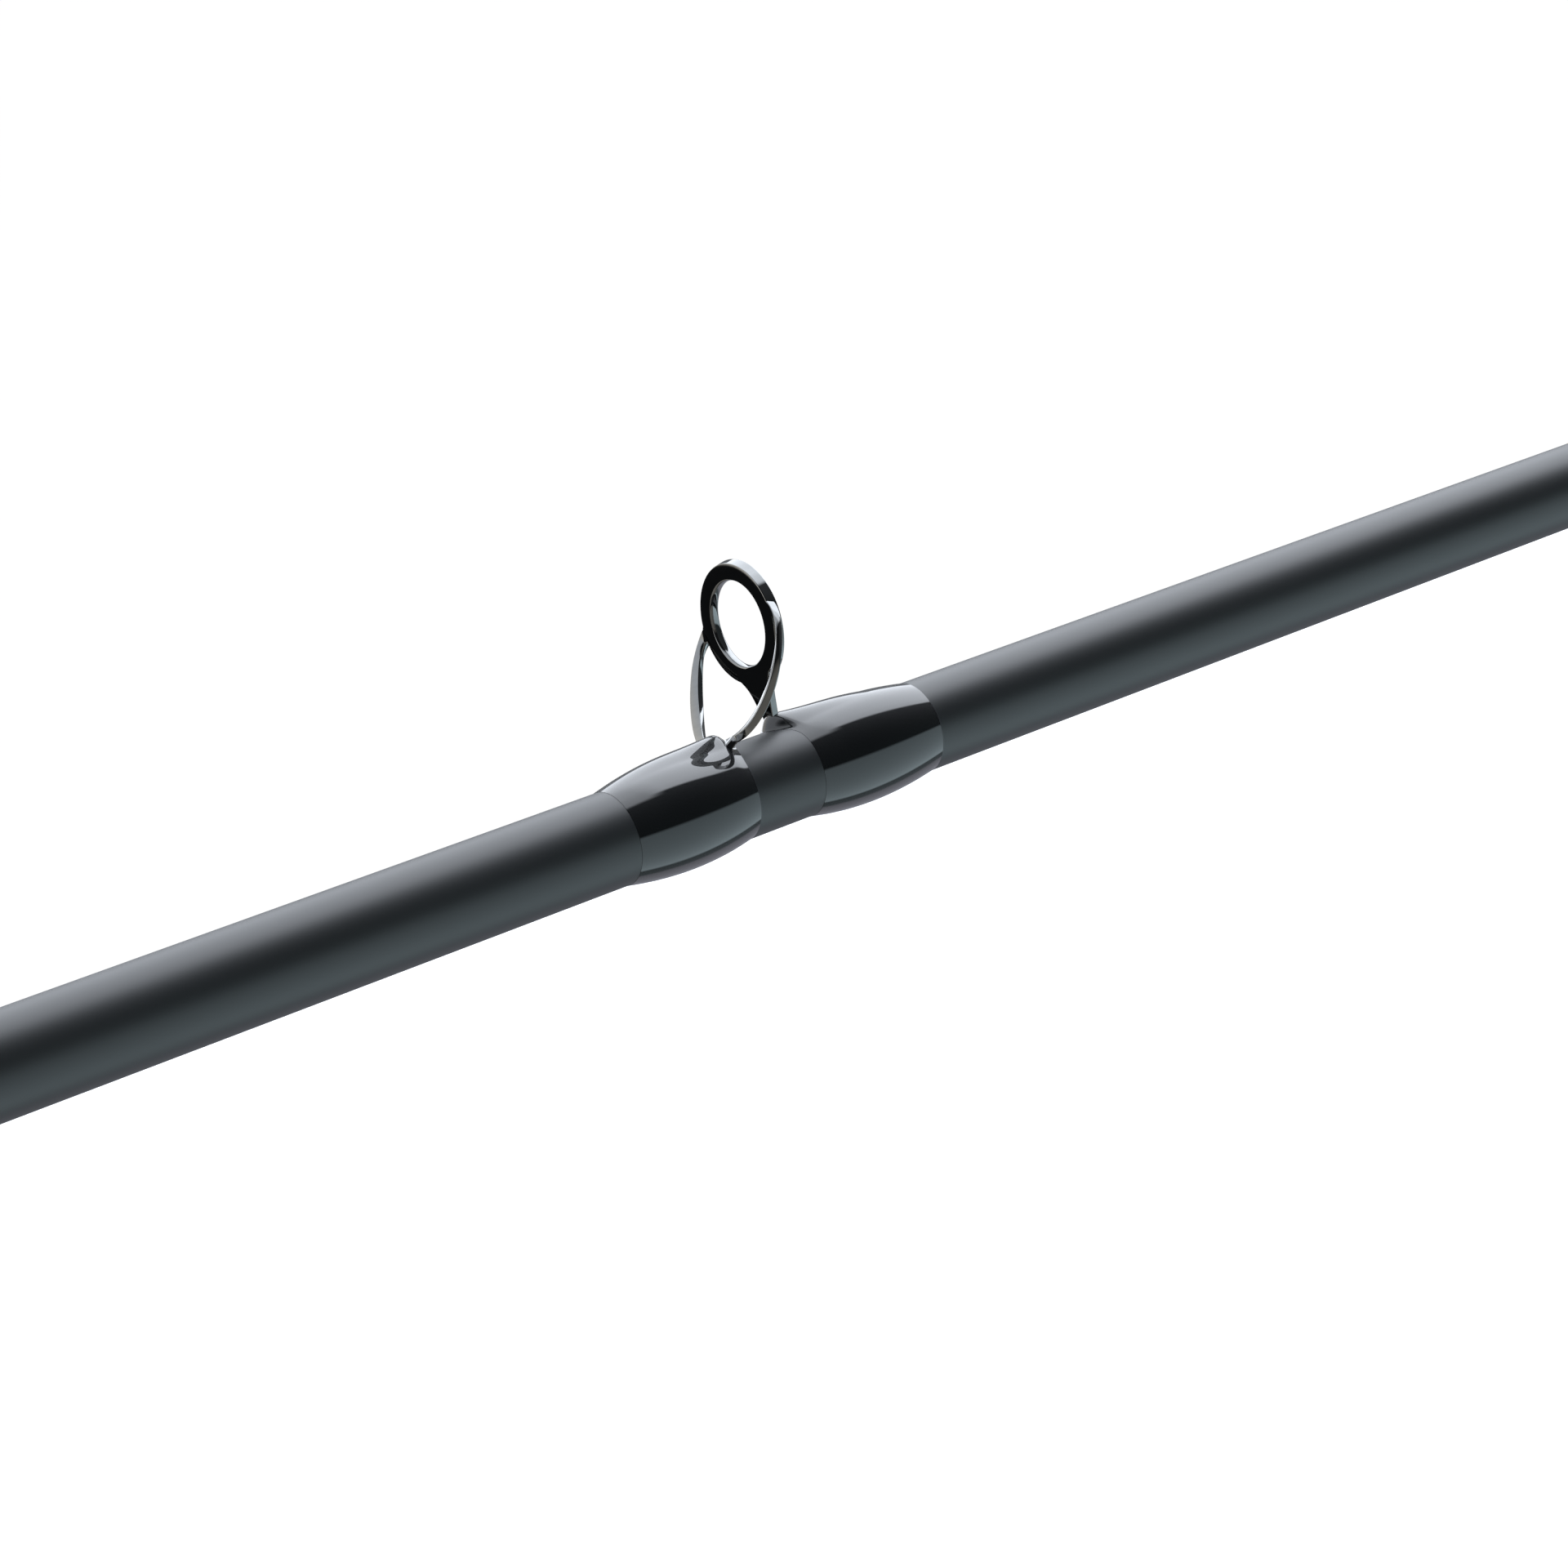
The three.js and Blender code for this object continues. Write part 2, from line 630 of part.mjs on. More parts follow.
// A bent wire on the rod's underside: two legs lie under a winding, and the loop stands off.
function addKeeper() {
  const { loop, footStart, footEnd, wrap, height, wire } = KEEPER;
  const level = (x) => -(blankRadius(x) + wire / 2 + SLIP + 0.03);
  const legY = 0.75;
  const low = level(footStart) - height;
  const half = [
    [footEnd, legY, level(footEnd)],
    [footStart + 4, legY, level(footStart + 4)],
    [footStart, legY, level(footStart)],
    [footStart - 2.5, 1.4, level(footStart) - 0.45 * height],
    [loop + 1, 1.9, low + 1.2],
  ];
  const crown = [loop - 0.4, 0, low];
  const mirrored = [...half].reverse().map(([x, y, z]) => [x, -y, z]);
  const route = [...half, crown, ...mirrored].map((p) => new THREE.Vector3(...p));
  const section = new THREE.Shape().absarc(0, 0, wire / 2, 0, 2 * Math.PI);
  const keeper = new THREE.ExtrudeGeometry(section, {
    steps: 36,
    curveSegments: 4,
    bevelEnabled: false,
    extrudePath: new THREE.CatmullRomCurve3(route, false, "centripetal"),
  });
  add("hook_keeper", keeper, "frame");
  const hold = (footEnd + 0.3 - wrap[0]) / (wrap[1] - wrap[0]);
  addWrap("hook_keeper_wrap", wrap[0], wrap[1], { height: wire + 0.35, hold, side: -1 });
}

// ---------------------------------------------------------------- assembly

addBlank();
addGrips();
addTrimRings();
addSeat();
addHoods();
addNut();
addKeeper();
addWrap("ferrule_butt_wrap", FERRULE.butt - 1.5, FERRULE.butt - 17);
addWrap("ferrule_tip_wrap", FERRULE.tip + 1.5, FERRULE.tip + 26);
GUIDES.forEach(addGuide);
addTipTop();

// The rod's origin is on its axis, under the middle of the reel foot's bed.
const originX = (SEAT.bed[0] + SEAT.bed[1]) / 2;
rod.children.forEach((mesh) => mesh.translateX(-originX));

export default rod;
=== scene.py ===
"""Looks for a two-piece spinning rod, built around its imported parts. Lengths are in millimetres
until a mesh or an object is made, which is in metres. The floor and backdrop are in metres."""
import math

import bpy
import numpy as np
from mathutils import Matrix, Vector


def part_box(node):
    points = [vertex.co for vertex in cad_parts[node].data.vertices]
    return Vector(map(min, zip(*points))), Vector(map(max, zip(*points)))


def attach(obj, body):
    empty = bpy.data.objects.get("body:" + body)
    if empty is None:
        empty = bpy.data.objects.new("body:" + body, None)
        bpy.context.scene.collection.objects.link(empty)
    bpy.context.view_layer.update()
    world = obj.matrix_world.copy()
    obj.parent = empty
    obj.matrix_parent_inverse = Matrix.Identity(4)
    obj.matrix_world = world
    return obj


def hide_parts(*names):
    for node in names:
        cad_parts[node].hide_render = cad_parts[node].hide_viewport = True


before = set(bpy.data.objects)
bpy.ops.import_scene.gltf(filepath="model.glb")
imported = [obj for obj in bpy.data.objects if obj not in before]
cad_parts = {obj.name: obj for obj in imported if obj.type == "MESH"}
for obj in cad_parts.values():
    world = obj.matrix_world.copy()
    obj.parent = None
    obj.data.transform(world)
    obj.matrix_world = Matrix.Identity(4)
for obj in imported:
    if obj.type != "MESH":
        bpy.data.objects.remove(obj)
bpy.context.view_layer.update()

MM = 0.001
TAU = 2 * math.pi

# ---------------------------------------------------------------- dimensions, in millimetres

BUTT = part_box("butt_cap")[0].x / MM  # x of the butt end
TUBE_START = 8  # from the butt end to the tube's own end, inside the grip
HANDLE_END, HANDLE_RADIUS = BUTT + 450, 7.45  # where the even taper starts
BUTT_RADIUS = 8.1
TIP_END, TIP_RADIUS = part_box("tip_blank")[1].x / MM, 1.2
BLANK_WALL = 1.5
BORE_END = BUTT + 1900  # the tip section is solid from here on

GUIDE_SIZES = {"guide_1": 25, "guide_2": 12, "guide_3": 10, "guide_4": 8, "guide_5": 8, "guide_6": 8}
BASE_SIZE = 12  # the dimensions below are those of the 12 mm guide
BASE_RADIUS = 4.535  # of the blank under it
CENTRE_HEIGHT = 10.6  # ring centre above the blank's top
TILT = math.radians(2.4)
REAR_FOOT = 10.3
FRONT_FOOT = (7.1, 19.6)
FRONT_WRAP = (7.3, 21.5)
REAR_WRAP = (0.62, 15.1)
COAT = 0.72  # thread and epoxy at the fullest place
FOOT_RISE = 0.66  # a foot's own height
FOOT_HALF_WIDTH, FULL_WIDTH_RADIUS = 1.5, 4.5  # a foot is narrower on a thinner blank
FRONT_LIFT, REAR_LIFT = 0.86, 0.8  # how much a foot raises its winding, at the guide's end
FRONT_TONGUE = (1.4, 3.2, 0.5, 2.6)  # (reach, half width, height, length), see wrap_surface
REAR_TONGUE = (2.3, 1.9, 0.66, 2.6)


def blank_radius(x):
    """Radius of the blank's outside at x."""
    if x < HANDLE_END:
        share = (x - BUTT - TUBE_START) / (HANDLE_END - BUTT - TUBE_START)
        return BUTT_RADIUS + (HANDLE_RADIUS - BUTT_RADIUS) * share
    return HANDLE_RADIUS + (TIP_RADIUS - HANDLE_RADIUS) * (x - HANDLE_END) / (TIP_END - HANDLE_END)


def hole_radius(size):
    """Least radius of a ring's hole: half the outer diameter, less the ring's width."""
    return size / 2 - (0.175 * size - 0.3)


def guide_scale(size):
    """(scale of the ring and frame, scale of the feet and windings)."""
    k = size / BASE_SIZE
    return k, k**0.6


def sheet_thickness(size):
    return 0.55 + 0.0375 * size


def guide_x(name):
    """x of a guide's ring, from the far end of its rear foot."""
    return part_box(f"{name}_frame")[1].x / MM - REAR_FOOT * guide_scale(GUIDE_SIZES[name])[1]


# ---------------------------------------------------------------- mesh helpers


def smoothstep(low, high, value):
    t = np.clip((value - low) / (high - low), 0, 1)
    return t * t * (3 - 2 * t)


def grid(rows, closed=False, caps=False):
    """Vertices and faces of a surface through equal rings of points. closed joins the last ring
    to the first; caps fills the first and the last."""
    rows = [np.asarray(r, float) for r in rows]
    n = len(rows[0])
    faces = []
    count = len(rows) if closed else len(rows) - 1
    for s in range(count):
        a, b = s * n, ((s + 1) % len(rows)) * n
        faces += [(a + i, a + (i + 1) % n, b + (i + 1) % n, b + i) for i in range(n)]
    if caps:
        faces.append(tuple(reversed(range(n))))
        faces.append(tuple(range((len(rows) - 1) * n, len(rows) * n)))
    return np.concatenate(rows), faces


def around(x, radius, sides):
    """A ring of points round the X axis; radius is a number or a function of the angle from the top."""
    angle = np.arange(sides) * TAU / sides
    r = radius(angle) if callable(radius) else radius
    return np.stack([np.full(sides, float(x)), r * np.sin(angle), r * np.cos(angle)], axis=1)


def turned(profile, sides=128):
    """A closed body of revolution about X from [x, radius] pairs that close on themselves."""
    return grid([around(x, max(r, 1e-4), sides) for x, r in profile], closed=True)


def shell(xs, outer, inner, sides=128):
    """A closed sleeve between two radii, each a function of x and the angle."""
    out = [around(x, lambda a, x=x: outer(x, a), sides) for x in xs]
    back = [around(x, lambda a, x=x: inner(x, a), sides) for x in reversed(xs)]
    return grid(out + back, closed=True)


def rounded(corners, radius, steps=3):
    """A closed outline through four corners, each rounded by a short curve."""
    points = []
    count = len(corners)
    for i, corner in enumerate(corners):
        before, after = corners[i - 1] - corner, corners[(i + 1) % count] - corner
        start = corner + before * min(radius / before.length, 0.49)
        end = corner + after * min(radius / after.length, 0.49)
        for s in range(steps + 1):
            t = s / steps
            points.append(start * (1 - t) ** 2 + corner * 2 * t * (1 - t) + end * t**2)
    return [tuple(p) for p in points]


def fine_profile(points, step=2.0):
    """A smooth curve through [x, radius] points, as closely spaced points."""
    xs = [p[0] for p in points]
    rs = [p[1] for p in points]
    slopes = np.gradient(rs, xs)
    out = []
    for i in range(len(points) - 1):
        span = xs[i + 1] - xs[i]
        count = max(2, int(span / step))
        for s in range(count):
            t = s / count
            h00, h10 = 2 * t**3 - 3 * t**2 + 1, t**3 - 2 * t**2 + t
            h01, h11 = 3 * t**2 - 2 * t**3, t**3 - t**2
            r = h00 * rs[i] + h10 * span * slopes[i] + h01 * rs[i + 1] + h11 * span * slopes[i + 1]
            out.append([xs[i] + span * t, r])
    return out + [list(points[-1])]


def make(name, parts, material, body, nodes=(), sharp=35, flat_faces=False):
    """One object in metres from (vertices, faces) parts. It rides on a body and replaces nodes.
    flat_faces keeps its broad faces flat in shading beside their rounded edges."""
    vertices, faces = [], []
    for part_vertices, part_faces in parts:
        start = len(vertices)
        vertices += [tuple(v * MM for v in p) for p in part_vertices]
        faces += [tuple(start + i for i in f) for f in part_faces]
    mesh = bpy.data.meshes.new(name)
    mesh.from_pydata(vertices, [], faces)
    mesh.validate()
    mesh.shade_smooth()
    mesh.set_sharp_from_angle(angle=math.radians(sharp))
    mesh.materials.append(material)
    obj = bpy.data.objects.new(name, mesh)
    bpy.context.scene.collection.objects.link(obj)
    if flat_faces:
        weighted = obj.modifiers.new("flat_faces", "WEIGHTED_NORMAL")
        weighted.keep_sharp = True
        weighted.weight = 90
    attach(obj, body)
    if nodes:
        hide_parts(*nodes)
    return obj


# ---------------------------------------------------------------- materials


def new_material(name, **values):
    """A Principled material; values are its sockets' numbers, with _ for a space."""
    material = bpy.data.materials.new(name)
    material.use_nodes = True
    shader = material.node_tree.nodes["Principled BSDF"]
    for key, value in values.items():
        shader.inputs[key.replace("_", " ")].default_value = value
    return material, shader


def texture(material, kind, scale, stretch=(1, 1, 1), **values):
    """A procedural texture in object space; scale is in features per metre."""
    tree = material.node_tree
    coordinate = tree.nodes.new("ShaderNodeTexCoord")
    mapping = tree.nodes.new("ShaderNodeMapping")
    mapping.inputs["Scale"].default_value = stretch
    node = tree.nodes.new(kind)
    tree.links.new(coordinate.outputs["Object"], mapping.inputs["Vector"])
    tree.links.new(mapping.outputs["Vector"], node.inputs["Vector"])
    node.inputs["Scale"].default_value = scale
    for key, value in values.items():
        node.inputs[key.replace("_", " ")].default_value = value
    return node


def roughen(material, shader, source, low, high):
    """The roughness runs from low to high with source."""
    node = material.node_tree.nodes.new("ShaderNodeMapRange")
    node.inputs["To Min"].default_value = low
    node.inputs["To Max"].default_value = high
    material.node_tree.links.new(source, node.inputs["Value"])
    material.node_tree.links.new(node.outputs["Result"], shader.inputs["Roughness"])


def tint(material, shader, source, low, high):
    """The base colour runs from low to high with source."""
    node = material.node_tree.nodes.new("ShaderNodeMix")
    node.data_type = "RGBA"
    node.inputs[6].default_value = (*low, 1)
    node.inputs[7].default_value = (*high, 1)
    material.node_tree.links.new(source, node.inputs["Factor"])
    material.node_tree.links.new(node.outputs[2], shader.inputs["Base Color"])


def bump(material, shader, source, distance, strength=1.0):
    """Relief of the surface, distance in metres."""
    node = material.node_tree.nodes.new("ShaderNodeBump")
    node.inputs["Distance"].default_value = distance
    node.inputs["Strength"].default_value = strength
    material.node_tree.links.new(source, node.inputs["Height"])
    material.node_tree.links.new(node.outputs["Normal"], shader.inputs["Normal"])


def blank_material():
    """Matte dark graphite composite: fine grain, with faint variation along the rod."""
    material, shader = new_material("graphite_composite", Specular_IOR_Level=0.58, IOR=1.5)
    grain = texture(material, "ShaderNodeTexNoise", 9000, Detail=3.0)
    cloud = texture(material, "ShaderNodeTexNoise", 90, stretch=(0.3, 1, 1), Detail=2.0)
    tint(material, shader, cloud.outputs["Fac"], (0.0050, 0.0072, 0.0090), (0.0075, 0.0102, 0.0124))
    roughen(material, shader, cloud.outputs["Fac"], 0.44, 0.48)
    bump(material, shader, grain.outputs["Fac"], 0.000004, 0.5)
    return material


def wrap_material():
    """Dark thread in close turns under a thick clear coat."""
    material, shader = new_material(
        "thread_under_epoxy",
        Roughness=0.5,
        Specular_IOR_Level=0.05,
        Coat_Weight=1.0,
        Coat_Roughness=0.02,
        Coat_IOR=1.53,
    )
    turns = texture(material, "ShaderNodeTexWave", 1000, stretch=(1, 0.002, 0.002), Distortion=0.6)
    cloud = texture(material, "ShaderNodeTexNoise", 220, Detail=2.0)
    tint(material, shader, turns.outputs["Fac"], (0.0020, 0.0030, 0.0038), (0.0034, 0.0046, 0.0056))
    roughen(material, shader, cloud.outputs["Fac"], 0.42, 0.58)
    bump(material, shader, turns.outputs["Fac"], 0.00001, 0.4)
    return material


def chrome_material():
    """Polished black chrome, with very faint polishing marks."""
    material, shader = new_material("black_chrome", Metallic=1.0)
    marks = texture(material, "ShaderNodeTexNoise", 500, stretch=(1, 1, 6), Detail=4.0)
    tint(material, shader, marks.outputs["Fac"], (0.155, 0.158, 0.158), (0.20, 0.203, 0.202))
    roughen(material, shader, marks.outputs["Fac"], 0.03, 0.09)
    bump(material, shader, marks.outputs["Fac"], 0.000004, 0.25)
    return material


def foam_material():
    """Fine closed-cell foam, ground smooth: tiny cells, slightly greyer where it is worn."""
    material, shader = new_material("closed_cell_foam", Specular_IOR_Level=0.3, Sheen_Weight=0.25)
    shader.inputs["Sheen Roughness"].default_value = 0.5
    cells = texture(material, "ShaderNodeTexVoronoi", 2600, Randomness=1.0)
    wear = texture(material, "ShaderNodeTexNoise", 60, Detail=5.0)
    tint(material, shader, wear.outputs["Fac"], (0.0085, 0.0088, 0.0095), (0.0260, 0.0265, 0.0280))
    roughen(material, shader, wear.outputs["Fac"], 0.80, 0.95)
    bump(material, shader, cells.outputs["Distance"], 0.00012, 0.7)
    return material


def rubber_material():
    """Moulded rubber, a little dusty."""
    material, shader = new_material("moulded_rubber", Specular_IOR_Level=0.35)
    skin = texture(material, "ShaderNodeTexNoise", 1500, Detail=4.0)
    dust = texture(material, "ShaderNodeTexNoise", 70, Detail=3.0)
    tint(material, shader, dust.outputs["Fac"], (0.0070, 0.0070, 0.0075), (0.0180, 0.0180, 0.0190))
    roughen(material, shader, dust.outputs["Fac"], 0.55, 0.75)
    bump(material, shader, skin.outputs["Fac"], 0.00008, 0.6)
    return material


def seat_material():
    """Moulded graphite-filled plastic with a satin skin."""
    material, shader = new_material("filled_plastic", Specular_IOR_Level=0.5)
    skin = texture(material, "ShaderNodeTexNoise", 3500, Detail=3.0)
    fleck = texture(material, "ShaderNodeTexVoronoi", 1300, Randomness=1.0)
    tint(material, shader, fleck.outputs["Distance"], (0.0200, 0.0215, 0.0240), (0.0110, 0.0120, 0.0140))
    roughen(material, shader, skin.outputs["Fac"], 0.28, 0.42)
    bump(material, shader, skin.outputs["Fac"], 0.00001, 0.4)
    return material


def hood_material():
    """Satin dark nickel, brushed round the rod."""
    material, shader = new_material("satin_dark_nickel", Metallic=1.0)
    brush = texture(material, "ShaderNodeTexNoise", 900, stretch=(8, 0.3, 0.3), Detail=5.0)
    tint(material, shader, brush.outputs["Fac"], (0.20, 0.205, 0.215), (0.30, 0.305, 0.32))
    roughen(material, shader, brush.outputs["Fac"], 0.22, 0.36)
    bump(material, shader, brush.outputs["Fac"], 0.000006, 0.3)
    return material


def ring_material():
    """Anodised aluminium with fine turning lines."""
    material, shader = new_material("anodised_aluminium", Metallic=1.0)
    lines = texture(material, "ShaderNodeTexWave", 1600, stretch=(1, 0.001, 0.001), Distortion=0.3)
    tint(material, shader, lines.outputs["Fac"], (0.10, 0.103, 0.11), (0.16, 0.163, 0.17))
    roughen(material, shader, lines.outputs["Fac"], 0.25, 0.34)
    bump(material, shader, lines.outputs["Fac"], 0.000012, 0.4)
    return material


def arbor_material():
    """Rigid tan foam of the arbors, which are out of sight inside the seat."""
    material, shader = new_material("rigid_foam", Specular_IOR_Level=0.2)
    cells = texture(material, "ShaderNodeTexVoronoi", 1500, Randomness=1.0)
    tint(material, shader, cells.outputs["Distance"], (0.40, 0.33, 0.20), (0.52, 0.45, 0.30))
    roughen(material, shader, cells.outputs["Distance"], 0.8, 0.95)
    bump(material, shader, cells.outputs["Distance"], 0.0001, 0.6)
    return material


MATERIALS = {
    "blank": blank_material(),
    "wrap": wrap_material(),
    "frame": chrome_material(),
    "foam": foam_material(),
    "rubber": rubber_material(),
    "seat": seat_material(),
    "hood": hood_material(),
    "trim_ring": ring_material(),
    "arbor": arbor_material(),
}

# ---------------------------------------------------------------- camera

# Solved from the photographed blank's outline and the ring's ellipse.
CAMERA_ANCHOR = Vector((guide_x("guide_2"), 0, 0))
CAMERA_OFFSET = Vector((-364.08, -547.37, 4.45))
CAMERA_BACK = Vector((-0.5525, -0.8335, 0.0079)).normalized()
CAMERA_RIGHT = Vector((0.7816, -0.5213, -0.3427))
CAMERA_LENS = 158.07


def add_camera():
    data = bpy.data.cameras.new("camera")
    data.lens = CAMERA_LENS
    data.sensor_width = 36
    data.clip_start = 0.01
    camera = bpy.data.objects.new("camera", data)
    back = CAMERA_BACK
    right = (CAMERA_RIGHT - back * CAMERA_RIGHT.dot(back)).normalized()
    up = back.cross(right)
    turn = Matrix((right, up, back)).transposed().to_4x4()
    camera.matrix_world = Matrix.Translation((CAMERA_ANCHOR + CAMERA_OFFSET) * MM) @ turn
    bpy.context.scene.collection.objects.link(camera)
    bpy.context.scene.camera = camera


add_camera()

# ---------------------------------------------------------------- blank


def add_blank():
    butt_low, butt_high = (c.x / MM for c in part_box("butt_blank"))
    tip_low, tip_high = (c.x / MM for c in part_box("tip_blank"))
    edge = 0.15
    stations = [butt_low, HANDLE_END, butt_high - edge, butt_high]
    profile = [[x, blank_radius(x)] for x in stations[:-1]]
    profile += [[butt_high, blank_radius(butt_high) - edge]]
    profile += [[x, blank_radius(x) - BLANK_WALL] for x in reversed(stations)]
    make("butt_blank_tube", [turned(profile)], MATERIALS["blank"], "butt_section", ["butt_blank"])

    profile = [
        [BORE_END, 0],
        [BORE_END, blank_radius(BORE_END) - BLANK_WALL],
        [tip_low, blank_radius(tip_low) - BLANK_WALL],
        [tip_low, blank_radius(tip_low) - edge],
        [tip_low + edge, blank_radius(tip_low)],
        [tip_high, TIP_RADIUS],
        [tip_high, 0],
    ]
    make("tip_blank_tube", [turned(profile)], MATERIALS["blank"], "tip_section", ["tip_blank"])

    low, high = (c.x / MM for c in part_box("ferrule_spigot"))
    fit = BLANK_WALL + 0.06
    chamfer = 0.8
    profile = [
        [low, 0],
        [low, blank_radius(low) - fit],
        [high - chamfer, blank_radius(high) - fit],
        [high, blank_radius(high) - fit - chamfer / 2],
        [high, 0],
    ]
    make("ferrule_plug", [turned(profile)], MATERIALS["blank"], "butt_section", ["ferrule_spigot"])


add_blank()

# ---------------------------------------------------------------- windings


def wrap_surface(near, far, lift, lift_end, side=1, hold=0.0, tongue=None):
    """The epoxied winding from near (at a guide) to far. lift raises it over a foot along the top
    (side 1) or the underside (side -1): full height for the length of hold, then down to none at
    lift_end. tongue = (reach, half width, height, length) draws the near end out over a leg's
    bend."""
    reach, half_width, height, length = tongue or (0, 1, 0, 1)
    middle, half = (near + far) / 2, abs(far - near) / 2
    direction = 1 if far > near else -1

    def from_top(angle):
        return np.abs((angle + (0 if side > 0 else math.pi) + math.pi) % TAU - math.pi)

    def outer(x, angle):
        from_middle = (x - middle) / half
        bulge = COAT * max(0.0, 1 - from_middle**2) * (1 - 0.06 * direction * from_middle)
        turned_angle = from_top(angle)
        run = (x - near) * direction - hold
        share = np.clip(1 - max(run, 0) / ((lift_end - near) * direction - hold), 0, 1)
        rise = lift * share * smoothstep(0, 1.1, (x - near) * direction)
        width = 2.5 / blank_radius(x)
        tent = 0.5 + 0.5 * np.cos(math.pi * np.clip(turned_angle / width, 0, 1))
        radius = blank_radius(x) + 0.02 + bulge + rise * tent**0.8
        if tongue:
            run_in = (x - near) * direction
            across = turned_angle * blank_radius(x) / half_width
            mound = math.exp(-((run_in / length) ** 2)) * float(smoothstep(0, length / 2, run_in))
            radius = radius + height * mound * np.exp(-(across**2))
        return radius

    def inner(x, angle):
        return blank_radius(x) + 0.01 + 0 * angle

    spread = np.linspace(-1, 1, 61)
    eased = np.sin(spread * math.pi / 2) * 0.5 + spread * 0.5
    xs = sorted(middle + half * eased)
    vertices, faces = shell(xs, outer, inner, sides=144)
    if tongue:
        angle = np.arctan2(vertices[:, 1], vertices[:, 2])
        across = from_top(angle) * blank_radius(near) / half_width
        near_share = 1 - smoothstep(0, 4.5, (vertices[:, 0] - near) * direction)
        vertices[:, 0] -= direction * reach * near_share * np.exp(-(across**2) * 0.9)
    return vertices, faces


def add_wrap(name, body, near, far, nodes, **shape):
    """A winding; shape holds what wrap_surface takes, and without it the winding is plain."""
    shape = {"lift": 0.0, "lift_end": far, **shape}
    part = wrap_surface(near, far, **shape)
    make(name, [part], MATERIALS["wrap"], body, nodes, sharp=60)


# ---------------------------------------------------------------- guides


def ring_part(x, centre, size, sheet, sides=160):
    """The ring: flat faces, a slightly conical rim with eased edges, and a rolled, polished hole."""
    hole = hole_radius(size)
    ease = 0.08 * sheet
    front, back = size / 2 - 0.04 * sheet, size / 2 + 0.16 * sheet
    roll = 0.24 * sheet
    profile = [
        [0, front - ease],
        [ease * 0.3, front - ease * 0.3],
        [ease, front],
        [ease + 0.03, front + 0.007],
        [sheet - ease - 0.03, back - 0.007],
        [sheet - ease, back],
        [sheet - ease * 0.3, back - ease * 0.3],
        [sheet, back - ease],
    ]
    steps = 14
    for s in range(steps + 1):
        a = math.pi * s / steps
        profile.append([sheet / 2 + sheet / 2 * math.cos(a), hole + roll * (1 - math.sin(a))])
    vertices, faces = turned(profile, sides)
    return place_plate(vertices, x, centre), faces


def place_plate(vertices, x, centre):
    """Tilts points of the plate about the ring's centre and moves them to the guide."""
    turn = Matrix.Rotation(TILT, 3, "Y")
    return [tuple(turn @ Vector(v) + Vector((x, 0, centre))) for v in vertices]


def leg_part(x, centre, k, sheet, foot_z):
    """The single leg: it leaves the ring in two fillets and narrows to the blank."""
    outline = [
        (-4.3, 2.9), (-4.8, 2.86), (-5.15, 2.72), (-5.45, 2.5), (-5.75, 2.24), (-6.1, 1.98),
        (-6.5, 1.74), (-7.0, 1.53), (-7.6, 1.34), (-8.3, 1.14), (-9.0, 0.94), (-9.7, 0.76),
    ]
    outline = [(z * k, w * k) for z, w in outline] + [(foot_z - centre, 0.6 * k)]
    proud = 0.002  # keeps its faces off the ring's, which lie in the same planes
    front = -proud
    rings = []
    for z, w in outline:
        back = proud + sheet * (1 - 0.24 * float(smoothstep(-5.4 * k, -7.2 * k, z)))
        corners = [Vector(c) for c in ((front, -w, z), (front, w, z), (back, w, z), (back, -w, z))]
        rings.append(rounded(corners, 0.11 * sheet))
    vertices, faces = grid(rings, caps=True)
    return place_plate(vertices, x, centre), faces


def bezier(points, t):
    """The point at t on a cubic curve."""
    a, b, c, d = points
    s = 1 - t
    return a * s**3 + b * 3 * s * s * t + c * 3 * s * t * t + d * t**3


# Where an arm lies on the foot: (x, outer edge's y and z, inner edge's y and z).
ARM_ENDS = ((-7.25, 2.1, 0.1, 0.95, 0.44), (-8.4, 1.1, 0, 0.2, 0.3))


